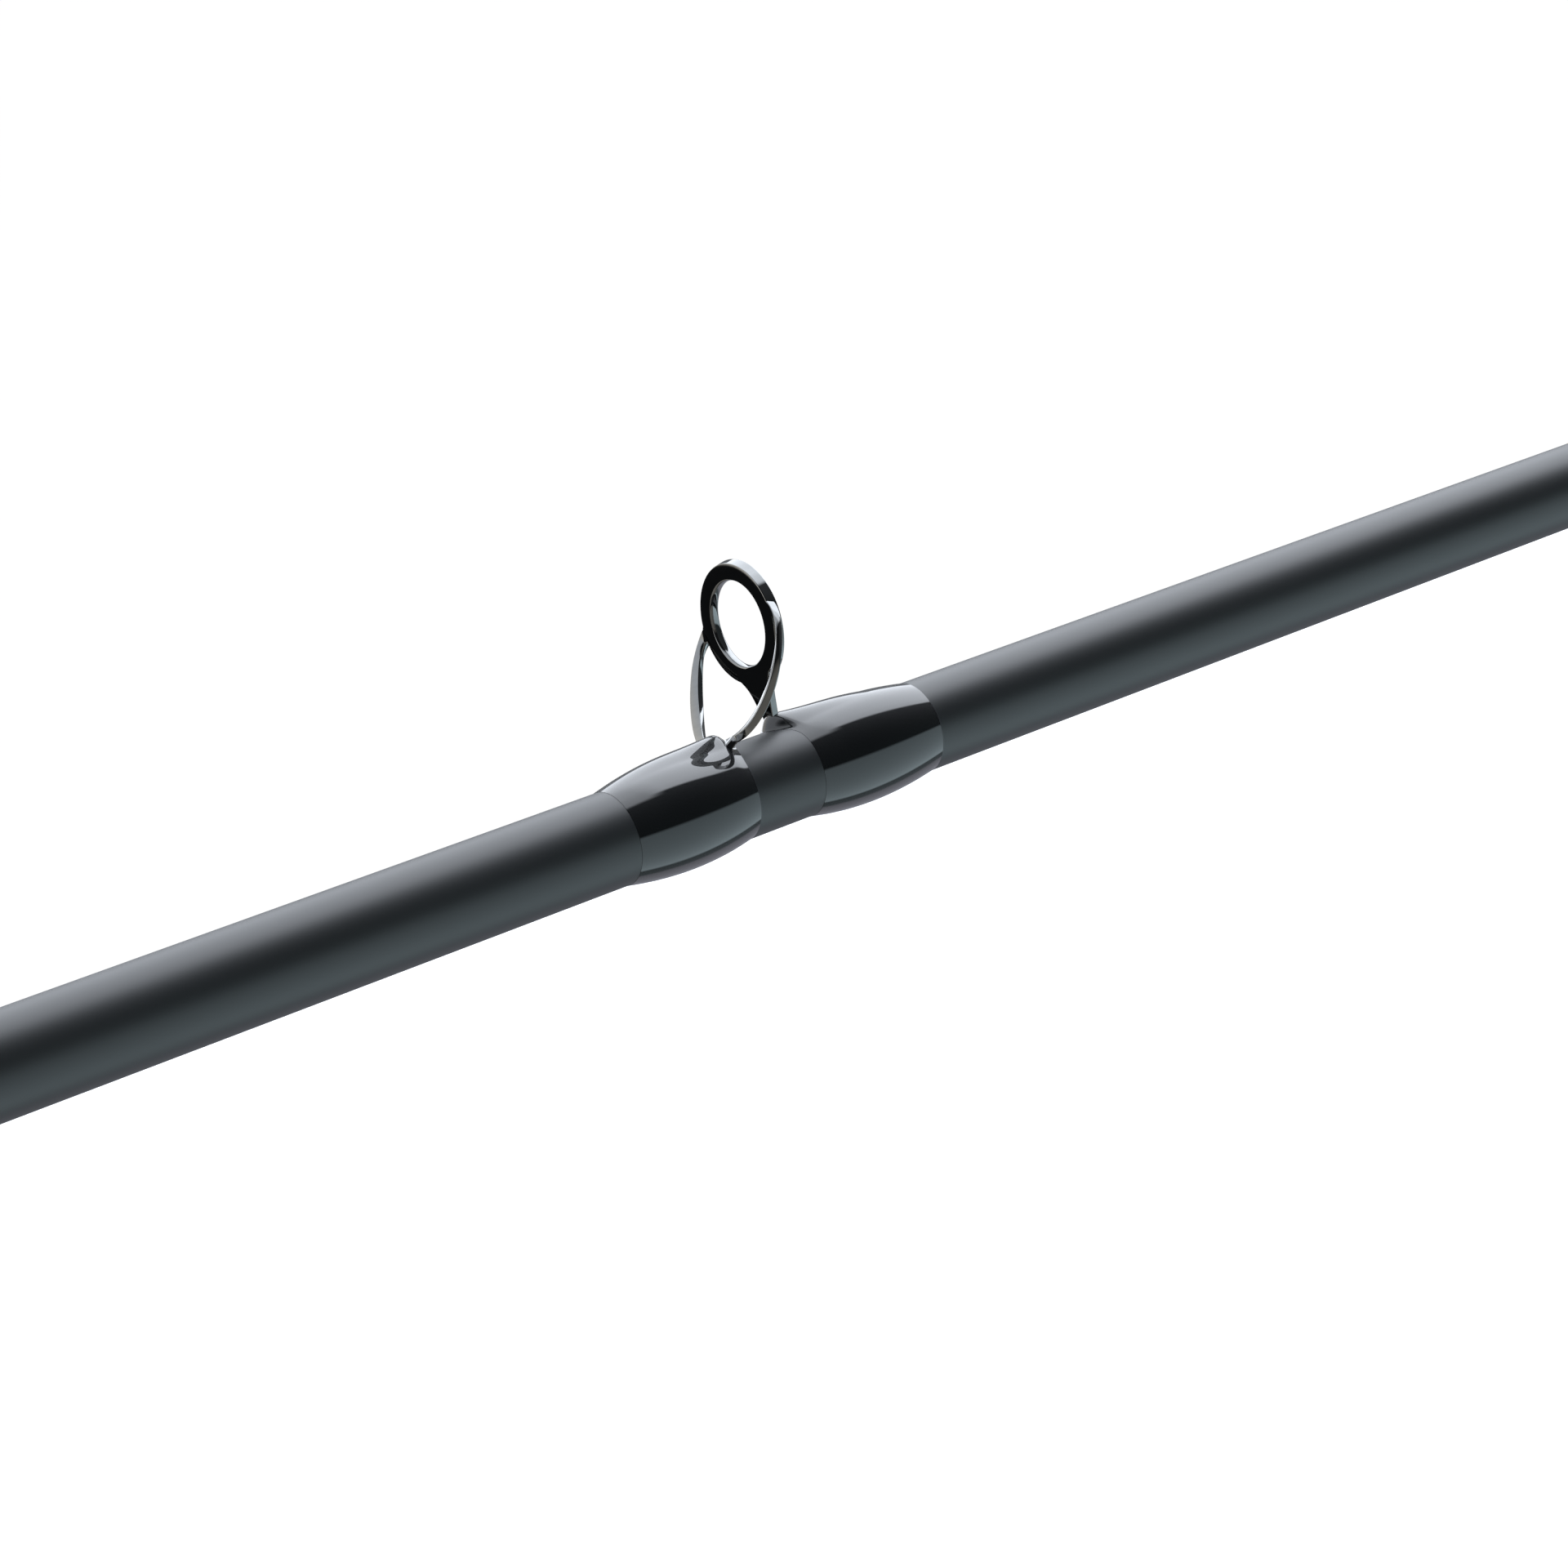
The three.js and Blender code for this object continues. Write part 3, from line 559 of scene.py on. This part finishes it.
def arm_part(x, centre, top, k, sheet, side):
    """One side arm: it leaves the ring's side in the plate's plane, folds back and comes in over
    the blank, turning flat where it meets the foot. Near the blank it scales with the blank (w),
    elsewhere with the ring (k)."""
    w = top / BASE_RADIUS
    outer = [
        Vector((0, 6.05 * k, centre + 0.75 * k)),
        Vector((-1.4 * k, 10.0 * k, centre - 2.8 * k)),
        Vector((-5.3 * k, 7.0 * k, top + 0.94 * k)),
        Vector((-6.64 * k, 2.9 * w, top + 0.70 * w)),
    ]
    inner = [
        Vector((0, 6.13 * k, centre - 0.62 * k)),
        Vector((-0.94 * k, 8.43 * k, centre - 2.17 * k)),
        Vector((-4.73 * k, 6.16 * k, top + 0.74 * k)),
        Vector((-6.74 * k, 1.48 * w, top + 0.60 * w)),
    ]
    flat_back = Vector((1, 0, 0))
    fold_back = Vector((0.88, 0.10, 0.46))
    foot_back = Vector((0.13, 0.31, -0.94))
    # Inside the ring: (x, outer edge's y and z, inner edge's y and z), flat like the plate.
    roots = ((0.006, 4.85, 1.8, 4.7, 0.3), (0.003, 5.45, 1.4, 5.3, -0.3), (0, 5.85, 1.05, 5.8, -0.62))
    edges = [
        (Vector((dx, oy * k, centre + oz * k)), Vector((dx, iy * k, centre + iz * k)), flat_back)
        for dx, oy, oz, iy, iz in roots
    ]
    steps = 36
    for s in range(steps + 1):
        t = s / steps
        back = flat_back.lerp(fold_back, float(smoothstep(0, 0.2, t))).lerp(foot_back, t**1.15)
        edges.append((bezier(outer, t), bezier(inner, t), back))
    for along, outer_y, outer_z, inner_y, inner_z in ARM_ENDS:
        outer_end = Vector((along * k, outer_y * w, top + outer_z * w))
        inner_end = Vector((along * k, inner_y * w, top + inner_z * w))
        edges.append((outer_end, inner_end, foot_back))
    thickness = 0.78 * sheet
    rings = []
    for o, i, back in edges:
        b = back.normalized() * (sheet if back is flat_back else thickness)
        corners = [o, i, i + b, o + b]
        rings.append(rounded([Vector((v.x, v.y * side, v.z)) for v in corners], 0.13 * sheet))
    if side < 0:
        rings = [list(reversed(r)) for r in rings]
    vertices, faces = grid(rings, caps=True)
    lean = math.tan(TILT)  # the plate's tilt; it grows no further below the ring
    vertices = [(v[0] + x + lean * max(v[2] - centre, -2 * k), v[1], v[2]) for v in vertices]
    return vertices, faces


def foot_part(x, stations):
    """A foot that lies on the blank, domed across and run out to a thin end."""
    rings = []
    for along, half_width, height in stations:
        base = blank_radius(x + along) + 0.03
        angle = np.linspace(0, math.pi, 13)
        dome = [(along + x, half_width * math.cos(a), base + height * math.sin(a) ** 0.7) for a in angle]
        rings.append(dome + [(along + x, 0, base - 0.1)])
    return grid(rings, caps=True)


def add_guide(name, body):
    """One guide's frame, which is one piece of sheet, and the windings on its two feet."""
    size = GUIDE_SIZES[name]
    k, reach = guide_scale(size)
    x = guide_x(name)
    top = blank_radius(x)
    centre = top + CENTRE_HEIGHT * k
    sheet = sheet_thickness(size)
    root = math.sqrt(k)
    rise = FOOT_RISE * root
    half = FOOT_HALF_WIDTH * min(1, top / FULL_WIDTH_RADIUS)
    front_start = FRONT_FOOT[0] * k
    front_end = front_start + (FRONT_FOOT[1] - FRONT_FOOT[0]) * reach
    thin_end = (0.8, 0.12)
    front_foot = [[-front_end, *thin_end], [-front_start - 1, half, rise], [-front_start, half, rise]]
    rear_foot = [
        [-0.45 * k, 0.6 * k, 0.4 * rise], [0.6, half, 0.8 * rise], [REAR_FOOT * reach, *thin_end],
    ]
    parts = [
        ring_part(x, centre, size, sheet),
        leg_part(x, centre, k, sheet, top + 0.1),
        arm_part(x, centre, top, k, sheet, 1),
        arm_part(x, centre, top, k, sheet, -1),
        foot_part(x, front_foot),
        foot_part(x, rear_foot),
    ]
    make(
        f"{name}_body", parts, MATERIALS["frame"], body, [f"{name}_frame"],
        sharp=40, flat_faces=True,
    )

    near = x - FRONT_WRAP[0] * k
    far = near - (FRONT_WRAP[1] - FRONT_WRAP[0]) * reach
    add_wrap(
        f"{name}_front_binding", body, near, far, [f"{name}_front_wrap"],
        lift=FRONT_LIFT * root, lift_end=far, tongue=tuple(v * k for v in FRONT_TONGUE),
    )
    near = x + REAR_WRAP[0] + 0.25 * (k - 1)
    far = x + REAR_WRAP[1] * reach
    draw, half_width, height, length = REAR_TONGUE
    add_wrap(
        f"{name}_rear_binding", body, near, far, [f"{name}_rear_wrap"],
        lift=REAR_LIFT * root, lift_end=x + REAR_FOOT * reach,
        tongue=(draw * k, half_width * k, height * root, length * k),
    )


for guide in GUIDE_SIZES:
    add_guide(guide, "butt_section" if guide == "guide_1" else "tip_section")


TIP_RING_SIZE, TIP_RING_HEIGHT, TIP_RING_SHEET = 8, 5.4, 0.85
TIP_SLEEVE_RADIUS = 1.95
STRUT_HALF_WIDTH, STRUT_HALF_HEIGHT = 0.4, 0.5


def add_tip_top():
    """A sleeve over the tip, a ring with a short leg, and a strut on each side."""
    low, high = (c.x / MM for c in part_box("tip_top_frame"))
    ring_x = high - 2
    centre, outer, sheet = TIP_RING_HEIGHT, TIP_SLEEVE_RADIUS, TIP_RING_SHEET
    sleeve = blank_radius(low) + 0.02
    profile = [
        [low, sleeve], [low, outer - 0.25], [low + 0.15, outer - 0.08], [low + 0.6, outer],
        [high - 1.0, outer], [high - 0.4, outer - 0.15], [high - 0.1, outer - 0.5], [high, outer - 0.9],
        [high, 0], [TIP_END + 0.3, 0], [TIP_END + 0.3, sleeve],
    ]
    parts = [turned(profile, 96), ring_part(ring_x, centre, TIP_RING_SIZE, sheet)]
    rings = [
        rounded([Vector(p) for p in ((0, -w, z), (0, w, z), (sheet, w, z), (sheet, -w, z))], 0.1)
        for z, w in ((-3.2, 1.9), (-3.5, 1.5), (-3.7, 1.1), (-4.1, 0.9))
    ]
    vertices, faces = grid(rings, caps=True)
    parts.append((place_plate(vertices, ring_x, centre), faces))
    for side in (1, -1):
        start = Vector((low + 5, side * 1.0, outer - 0.55))
        middle = Vector((low + 12, side * 3.4, outer + 0.3))
        end = Vector((ring_x + 0.3, side * 3.5, centre + 0.4))
        rings = []
        steps = 20
        for s in range(steps + 1):
            t = s / steps
            c = start * (1 - t) ** 2 + middle * 2 * t * (1 - t) + end * t**2
            w, h = STRUT_HALF_WIDTH, STRUT_HALF_HEIGHT
            section = ((-w, -h), (w, -h), (w, h), (-w, h))
            corners = [Vector((c.x, c.y + y, c.z + z)) for y, z in section]
            rings.append(rounded(corners, 0.25))
        parts.append(grid(rings, caps=True))
    make(
        "tip_top_body", parts, MATERIALS["frame"], "tip_section", ["tip_top_frame"],
        sharp=40, flat_faces=True,
    )
    add_wrap("tip_top_binding", "tip_section", low - 0.4, low - 13.5, ["tip_top_wrap"])


add_tip_top()


def add_plain_wraps():
    """The windings that strengthen both ends of the ferrule."""
    for node, body in (("ferrule_butt_wrap", "butt_section"), ("ferrule_tip_wrap", "tip_section")):
        low, high = (c.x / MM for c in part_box(node))
        add_wrap(node.replace("_wrap", "_binding"), body, low, high, [node])


add_plain_wraps()

# ---------------------------------------------------------------- handle


def add_turned(name, profile, kind, node):
    """A turned piece of the handle; kind names its material."""
    part = turned(profile, sides=160)
    return make(name, [part], MATERIALS[kind], "butt_section", [node], sharp=30)


def sleeve_profile(outline, clearance=0.03):
    """The outline, given from its low x to its high x, closed along the blank."""
    low, high = outline[0][0], outline[-1][0]
    return outline + [[high, blank_radius(high) + clearance], [low, blank_radius(low) + clearance]]


def rounded_ends(outline, radius):
    """The outline with its first and last points turned in by a small round."""
    (x0, r0), (x1, r1) = outline[0], outline[-1]
    steps = 5
    first = [
        [x0 + radius * (1 - math.cos(a)), r0 - radius * (1 - math.sin(a))]
        for a in (math.pi / 2 * s / steps for s in range(steps))
    ]
    last = [
        [x1 - radius * (1 - math.sin(a)), r1 - radius * (1 - math.cos(a))]
        for a in (math.pi / 2 * (1 - s / steps) for s in range(1, steps + 1))
    ]
    middle = [p for p in outline if x0 + radius <= p[0] <= x1 - radius]
    return first + middle + last


GRIP_EDGE = 0.5  # round of a grip's ends
BUTT_GRIP = ((17.3, 15.1), (28, 15.35), (40, 15.4), (62, 14.6), (88, 12.7), (110, 11.3), (130, 10.5))
REAR_GRIP = ((206.3, 9.9), (216, 10.6), (230, 12.4), (242, 13.3), (252, 13.2), (262, 12.6))
FOREGRIP = ((398.4, 12.8), (404, 13.4), (414, 13.3), (428, 12), (442, 10.4), (452, 9.7))


def grip_outline(points):
    """A grip's outside, from (distance from the butt end, radius) points."""
    return rounded_ends(fine_profile([[BUTT + x, r] for x, r in points]), GRIP_EDGE)


def add_grips():
    """Three foam grips; the one at the butt also fills the cap."""
    butt = grip_outline(BUTT_GRIP)
    low = BUTT + 4.3
    profile = [[low, 0], [low, 13.1], [BUTT + 17.3, 13.1], *butt]
    profile += [[BUTT + 130, blank_radius(BUTT + 130) + 0.03], [BUTT + 7.8, 8.15], [BUTT + 7.8, 0]]
    grips = [add_turned("butt_grip_foam", profile, "foam", "butt_grip")]

    for name, points, node in (
        ("rear_grip_foam", REAR_GRIP, "rear_grip"),
        ("foregrip_foam", FOREGRIP, "foregrip"),
    ):
        grips.append(add_turned(name, sleeve_profile(grip_outline(points)), "foam", node))


def add_butt_cap():
    """A moulded cup with a domed edge, a ribbed skirt and a shallow ring in its end."""
    outline = [[0, 0], [0, 4], [0.5, 4.4], [0.5, 6.6], [0, 7.0], [0, 11.8]]
    outline += [[0.25, 13.1], [0.9, 14.2], [1.8, 15.0], [3, 15.4]]
    ribs, first, pitch = 5, 4.2, 2.1
    for i in range(ribs):
        x = first + pitch * i
        outline += [[x, 15.45], [x + 0.35, 15.0], [x + 0.85, 15.0], [x + 1.2, 15.45]]
    outline += [[16.2, 15.45], [16.7, 15.3], [17, 15.0], [17, 13.2], [4, 13.2], [4, 0]]
    add_turned("butt_cap_rubber", [[BUTT + x, r] for x, r in outline], "rubber", "butt_cap")


def add_trim_ring(name, node, rear, fore):
    """A ring with rounded edges and two turned grooves."""
    low, high = (c.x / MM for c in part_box(node))
    span = high - low
    outline = [[low, rear - 0.5], [low + 0.15, rear - 0.15], [low + 0.5, rear]]
    for middle in (0.4, 0.6):
        x = low + span * middle
        r = rear + (fore - rear) * middle
        outline += [[x - 0.3, r], [x - 0.15, r - 0.22], [x + 0.15, r - 0.22], [x + 0.3, r]]
    outline += [[high - 0.5, fore], [high - 0.15, fore - 0.15], [high, fore - 0.5]]
    add_turned(name, sleeve_profile(outline), "trim_ring", node)


add_grips()
add_butt_cap()
add_trim_ring("butt_grip_collar", "butt_grip_ring", 10.5, 9.9)
add_trim_ring("rear_grip_collar", "rear_grip_ring", 9.3, 9.9)
add_trim_ring("foregrip_collar", "foregrip_ring", 9.6, 8.7)

# ---------------------------------------------------------------- reel seat

SEAT_BORE = 9.0
THREAD_PITCH, THREAD_CREST, THREAD_ROOT = 4.0, 11.9, 11.2
BED_HEIGHT, FLAT_HEIGHT = 11.0, 10.8
THREAD_FROM, THREAD_TO = BUTT + 348, BUTT + 390.5
FLAT_FROM, FLAT_TO = 273, 391.5  # from the butt end, like the bed's
BED_FROM, BED_TO = 290.5, 342.5


def flattened(radius, height, angle):
    """radius cut down to a flat at that height above the axis."""
    upward = np.maximum(np.cos(angle), 1e-3)
    return np.minimum(radius, height / upward)


def plain_bore(radius):
    """The inside of a shell that is a round hole."""
    return lambda x, angle: np.full_like(angle, radius)


def add_seat_barrel():
    """The seat's tube, with a flat along its top for the reel foot and a thread for the nut."""
    body = [
        (262.4, 11.6), (262.8, 12.0), (288, 12.0), (290.5, 11.5), (346.6, 11.5), (347, 11.2),
        (391.5, 11.2), (391.9, 11.5), (396.5, 12.0), (397.6, 12.0), (398, 11.7),
    ]
    body_x, body_r = [BUTT + x for x, _ in body], [r for _, r in body]

    def outer(x, angle):
        radius = np.full_like(angle, float(np.interp(x, body_x, body_r)))
        if THREAD_FROM < x < THREAD_TO:
            phase = (x / THREAD_PITCH + angle / TAU) % 1
            ridge = smoothstep(0.12, 0.42, 1 - np.abs(2 * phase - 1))
            fade = smoothstep(0, 2.5, x - THREAD_FROM) * smoothstep(0, 2.5, THREAD_TO - x)
            radius = radius + (THREAD_CREST - THREAD_ROOT) * ridge * fade
        from_butt = x - BUTT
        if FLAT_FROM < from_butt < FLAT_TO:
            height = BED_HEIGHT if BED_FROM <= from_butt <= BED_TO else FLAT_HEIGHT
            radius = flattened(radius, height, angle)
        return radius

    # A station on each side of every step in the flat, and sixteen to a turn of the thread.
    steps = (272.98, 273.02, 290.48, 290.52, 342.48, 342.52, 391.48)
    xs = body_x + [BUTT + x for x in steps]
    xs = sorted(set(xs + list(np.arange(THREAD_FROM, THREAD_TO, THREAD_PITCH / 16))))
    part = shell(xs, outer, plain_bore(SEAT_BORE), sides=192)
    make("seat_tube", [part], MATERIALS["seat"], "butt_section", ["seat_barrel"], sharp=38)


# A hood's section is a ring round the seat, blended with a roof, a circle set higher. Its inside
# is the bore, with a pocket under the roof.
HOOD_RING, HOOD_ROOF, HOOD_CENTRE = 12.95, 13.0, 3.9
HOOD_BORE, HOOD_POCKET = 12.15, 11.6
BLEND_SHARPNESS = 4.0
HOOD_CLEARANCE = 0.12  # between the sliding hood and the seat's flat


def circle_from_axis(radius, height, angle):
    """Distance from the X axis to a circle of that radius whose centre is at that height."""
    reach = radius**2 - (height * np.sin(angle)) ** 2
    return height * np.cos(angle) + np.sqrt(np.maximum(reach, 0))


def hood_part(closed_end, wall_end, mouth, wall_flat=None):
    """A hood from its closed end, past its end wall, to the mouth that takes the reel foot."""
    length = abs(mouth - closed_end)
    direction = 1 if mouth > closed_end else -1

    def outer(x, angle):
        run = (x - closed_end) * direction
        grow = 0.74 + 0.26 * float(smoothstep(0, 0.62, run / length))
        roof = circle_from_axis(HOOD_ROOF * grow, HOOD_CENTRE * grow, angle)
        ring = np.full_like(angle, HOOD_RING)
        blend = np.exp(roof * BLEND_SHARPNESS) + np.exp(ring * BLEND_SHARPNESS)
        radius = np.log(blend) / BLEND_SHARPNESS
        edge = min(run, length - run)
        bead = 0.28 * math.exp(-(((length - run - 1.3) / 0.7) ** 2))
        return radius - 0.35 * float(1 - smoothstep(0, 0.5, edge)) + bead

    def inner(x, angle):
        run = (x - closed_end) * direction
        if run <= (wall_end - closed_end) * direction:
            plain = np.full_like(angle, HOOD_BORE)
            return flattened(plain, wall_flat, angle) if wall_flat else plain
        return np.maximum(HOOD_BORE, circle_from_axis(HOOD_POCKET, HOOD_CENTRE, angle))

    runs = list(np.linspace(0, 0.5, 6)) + list(np.linspace(0.5, length - 3, 24))
    runs += list(np.linspace(length - 3, length, 16))
    wall = abs(wall_end - closed_end)
    runs = sorted(set(runs + [wall - 0.01, wall + 0.01]))
    xs = sorted(closed_end + direction * r for r in runs)
    return shell(xs, outer, inner, sides=192)


def add_hoods():
    """The fixed hood behind the reel foot, and the one that the nut pushes over its front."""
    fixed = hood_part(BUTT + 265, BUTT + 273, BUTT + 288)
    make("rear_hood_shell", [fixed], MATERIALS["hood"], "butt_section", ["fixed_hood"])
    sliding = hood_part(BUTT + 365, BUTT + 358, BUTT + 345, wall_flat=FLAT_HEIGHT + HOOD_CLEARANCE)
    make("front_hood_shell", [sliding], MATERIALS["hood"], "sliding_hood", ["slide_hood"])


FLUTES, FLUTE_DEPTH = 14, 0.75
NUT_BORE = 12.1


def add_nut():
    """The locking nut: deep flutes for the fingers between two plain collars."""
    low, high = (c.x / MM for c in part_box("lock_nut"))
    profile = [
        (0, 12.95), (0.25, 13.5), (0.8, 13.85), (2.4, 13.85), (2.7, 13.55), (3.1, 14.15),
        (3.6, 14.2), (14.6, 14.2), (15.1, 14.15), (15.5, 13.55), (15.8, 13.85), (17.4, 13.85),
        (18.2, 13.4), (18.6, 12.9),
    ]
    xs = [low + x for x, _ in profile]
    rs = [r for _, r in profile]

    def outer(x, angle):
        radius = np.full_like(angle, float(np.interp(x, xs, rs)))
        inside = float(smoothstep(3.1, 4.6, x - low) * smoothstep(3.1, 4.6, high - x - 0.4))
        wave = 0.5 - 0.5 * np.cos(FLUTES * angle)
        return radius - FLUTE_DEPTH * inside * wave**1.5

    stations = sorted(set(xs + list(np.linspace(low + 3.1, high - 3.5, 26))))
    part = shell(stations, outer, plain_bore(NUT_BORE), sides=280)
    make("locking_nut_body", [part], MATERIALS["seat"], "locking_nut", ["lock_nut"])


add_seat_barrel()
add_hoods()
add_nut()
for node in ("seat_arbor_rear", "seat_arbor_front"):
    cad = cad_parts[node]
    cad.data.materials.clear()
    cad.data.materials.append(MATERIALS["arbor"])

# ---------------------------------------------------------------- hook keeper


def add_keeper():
    """A bent wire under the rod: its two legs lie under a winding."""
    wire, height = 1.1, 5.6
    loop, foot_start, foot_end = BUTT + 470, BUTT + 477, BUTT + 489

    def level(x):
        return -(blank_radius(x) + wire / 2 + 0.08)

    low = level(foot_start) - height
    half = [
        (foot_end, 0.75, level(foot_end)),
        (foot_start + 2.5, 0.75, level(foot_start + 2.5)),
        (foot_start - 0.8, 1.0, level(foot_start) - 0.16 * height),
        (foot_start - 3.4, 1.6, level(foot_start) - 0.56 * height),
        (loop + 1, 1.8, low + 0.75),
    ]
    points = half + [(loop - 0.4, 0, low)] + [(x, -y, z) for x, y, z in reversed(half)]
    curve = bpy.data.curves.new("hook_keeper_wire", "CURVE")
    curve.dimensions = "3D"
    curve.bevel_depth = wire / 2 * MM
    curve.bevel_resolution = 8
    curve.resolution_u = 24
    curve.use_fill_caps = True
    spline = curve.splines.new("BEZIER")
    spline.bezier_points.add(len(points) - 1)
    for knot, point in zip(spline.bezier_points, points):
        knot.co = Vector(point) * MM
        knot.handle_left_type = knot.handle_right_type = "AUTO"
    curve.materials.append(MATERIALS["frame"])
    obj = bpy.data.objects.new("hook_keeper_wire", curve)
    bpy.context.scene.collection.objects.link(obj)
    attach(obj, "butt_section")
    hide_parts("hook_keeper")
    add_wrap(
        "hook_keeper_binding", "butt_section", BUTT + 478.5, BUTT + 493, ["hook_keeper_wrap"],
        lift=wire + 0.25, lift_end=BUTT + 493, side=-1, hold=10.8,
    )


add_keeper()

# ---------------------------------------------------------------- floor, backdrop and light

# Light from each direction round the rod's length: (degrees up from the near side, strength,
# tint). One set for the directions of the rod's tip, one for those of its butt, and one for those
# between them. They were set to give the photograph's bands.
COOL, COLD, LILAC, WARM = (0.95, 1, 1.08), (0.82, 1, 1.08), (0.95, 0.97, 1.10), (1, 0.96, 0.88)
LOW_LIGHT = [
    (-180, 0.25, LILAC), (-150, 0.45, LILAC), (-128, 0.6, LILAC), (-120, 0.6, LILAC), (-115, 0.3, COLD),
    (-103, 0.3, COLD), (-99, 1.9, COLD), (-60, 1.5, COLD), (-22, 1.2, COLD), (-17, 0.08, COLD),
]
TIP_LIGHT = LOW_LIGHT + [
    (57, 0.10, COOL), (61, 4.6, COOL), (75, 5.0, COOL), (95, 4.6, COOL), (115, 4.0, COOL),
    (141, 3.4, COOL), (145, 0.3, COOL), (180, 0.15, COOL),
]
MIDDLE_LIGHT = LOW_LIGHT + [
    (50, 0.12, COOL), (56, 2.8, COOL), (80, 3.7, COOL), (150, 3.4, COOL), (168, 2.6, COOL), (180, 0.5, COOL),
]
BUTT_LIGHT = [
    (-180, 0.02, COOL), (-162, 0.02, COOL), (-158, 0.6, WARM), (-100, 0.6, WARM), (-60, 0.55, WARM),
    (-45, 0.45, WARM), (-8, 0.4, WARM), (5, 0.03, COOL), (50, 0.03, COOL), (62, 1.5, COOL), (110, 1.6, COOL),
    (150, 1.8, WARM), (158, 1.4, WARM), (162, 0.02, COOL), (180, 0.02, COOL),
]
LIGHT_TOP = 8.0  # the strength that a stop's full colour stands for
# The butt's light gives way to each of these where the direction's x runs from low to high.
STRIPS = ((0.10, 0.18, MIDDLE_LIGHT), (0.34, 0.42, TIP_LIGHT))


def light_strip(tree, share, stops):
    """A colour ramp over the angle, from (degrees, strength, tint) stops."""
    strip = tree.nodes.new("ShaderNodeValToRGB")
    elements = strip.color_ramp.elements
    while len(elements) < len(stops):
        elements.new(0.5)
    for element, (degrees, strength, tint_of) in zip(elements, stops):
        element.position = (degrees + 180) / 360
        element.color = (*(strength / LIGHT_TOP * part for part in tint_of), 1)
    tree.links.new(share, strip.inputs["Fac"])
    return strip.outputs["Color"]


def add_world():
    """A light tent in three strips by direction: each has a panel overhead, a dark gap on the near
    side and a low fill."""
    world = bpy.data.worlds.new("light_tent")
    world.use_nodes = True
    tree = world.node_tree
    coordinate = tree.nodes.new("ShaderNodeTexCoord")
    split = tree.nodes.new("ShaderNodeSeparateXYZ")
    tree.links.new(coordinate.outputs["Generated"], split.inputs["Vector"])
    flip = tree.nodes.new("ShaderNodeMath")
    flip.operation = "MULTIPLY"
    flip.inputs[1].default_value = -1
    tree.links.new(split.outputs["Y"], flip.inputs[0])
    angle = tree.nodes.new("ShaderNodeMath")
    angle.operation = "ARCTAN2"
    tree.links.new(split.outputs["Z"], angle.inputs[0])
    tree.links.new(flip.outputs[0], angle.inputs[1])
    share = tree.nodes.new("ShaderNodeMapRange")
    share.inputs["From Min"].default_value = -math.pi
    share.inputs["From Max"].default_value = math.pi
    tree.links.new(angle.outputs[0], share.inputs["Value"])
    color = light_strip(tree, share.outputs["Result"], BUTT_LIGHT)
    for low, high, stops in STRIPS:
        side = tree.nodes.new("ShaderNodeMapRange")
        side.inputs["From Min"].default_value = low
        side.inputs["From Max"].default_value = high
        tree.links.new(split.outputs["X"], side.inputs["Value"])
        mix = tree.nodes.new("ShaderNodeMix")
        mix.data_type = "RGBA"
        tree.links.new(side.outputs["Result"], mix.inputs["Factor"])
        tree.links.new(color, mix.inputs[6])
        tree.links.new(light_strip(tree, share.outputs["Result"], stops), mix.inputs[7])
        color = mix.outputs[2]
    background = tree.nodes["Background"]
    background.inputs["Strength"].default_value = LIGHT_TOP
    tree.links.new(color, background.inputs["Color"])
    bpy.context.scene.world = world


def stage_mesh(name, vertices, faces, material):
    """An object of the surroundings, in metres."""
    mesh = bpy.data.meshes.new(name)
    mesh.from_pydata(vertices, [], faces)
    mesh.materials.append(material)
    obj = bpy.data.objects.new(name, mesh)
    bpy.context.scene.collection.objects.link(obj)
    return obj


def add_stage():
    """A pale floor under the rod and a white backdrop all round, which only the camera sees."""
    paper, floor_shader = new_material("pale_floor", Roughness=0.9)
    floor_shader.inputs["Base Color"].default_value = (0.82, 0.82, 0.82, 1)
    reach, below = 60, -0.35
    corners = [(x * reach, y * reach, below) for x, y in ((-1, -1), (1, -1), (1, 1), (-1, 1))]
    floor = stage_mesh("floor", corners, [(0, 1, 2, 3)], paper)
    white = bpy.data.materials.new("white_backdrop")
    white.use_nodes = True
    shader = white.node_tree.nodes["Principled BSDF"]
    shader.inputs["Base Color"].default_value = (0, 0, 0, 1)
    shader.inputs["Emission Color"].default_value = (1, 1, 1, 1)
    shader.inputs["Emission Strength"].default_value = 1.0
    distance, sides = 70, 48
    turn = np.arange(sides) * TAU / sides
    rings = []
    for e in np.radians(np.linspace(-60, 89, 24)):
        x, y = math.cos(e) * np.sin(turn), math.cos(e) * np.cos(turn)
        rings.append(distance * np.stack([x, y, np.full(sides, math.sin(e))], 1))
    vertices, faces = grid(rings, caps=True)
    dome = stage_mesh("backdrop", [tuple(v) for v in vertices], faces, white)
    for obj in (floor, dome):
        obj.visible_glossy = False
        obj.visible_diffuse = False
        obj.visible_transmission = False
    dome.visible_shadow = False


add_world()
add_stage()
bpy.context.scene.view_settings.view_transform = "Standard"
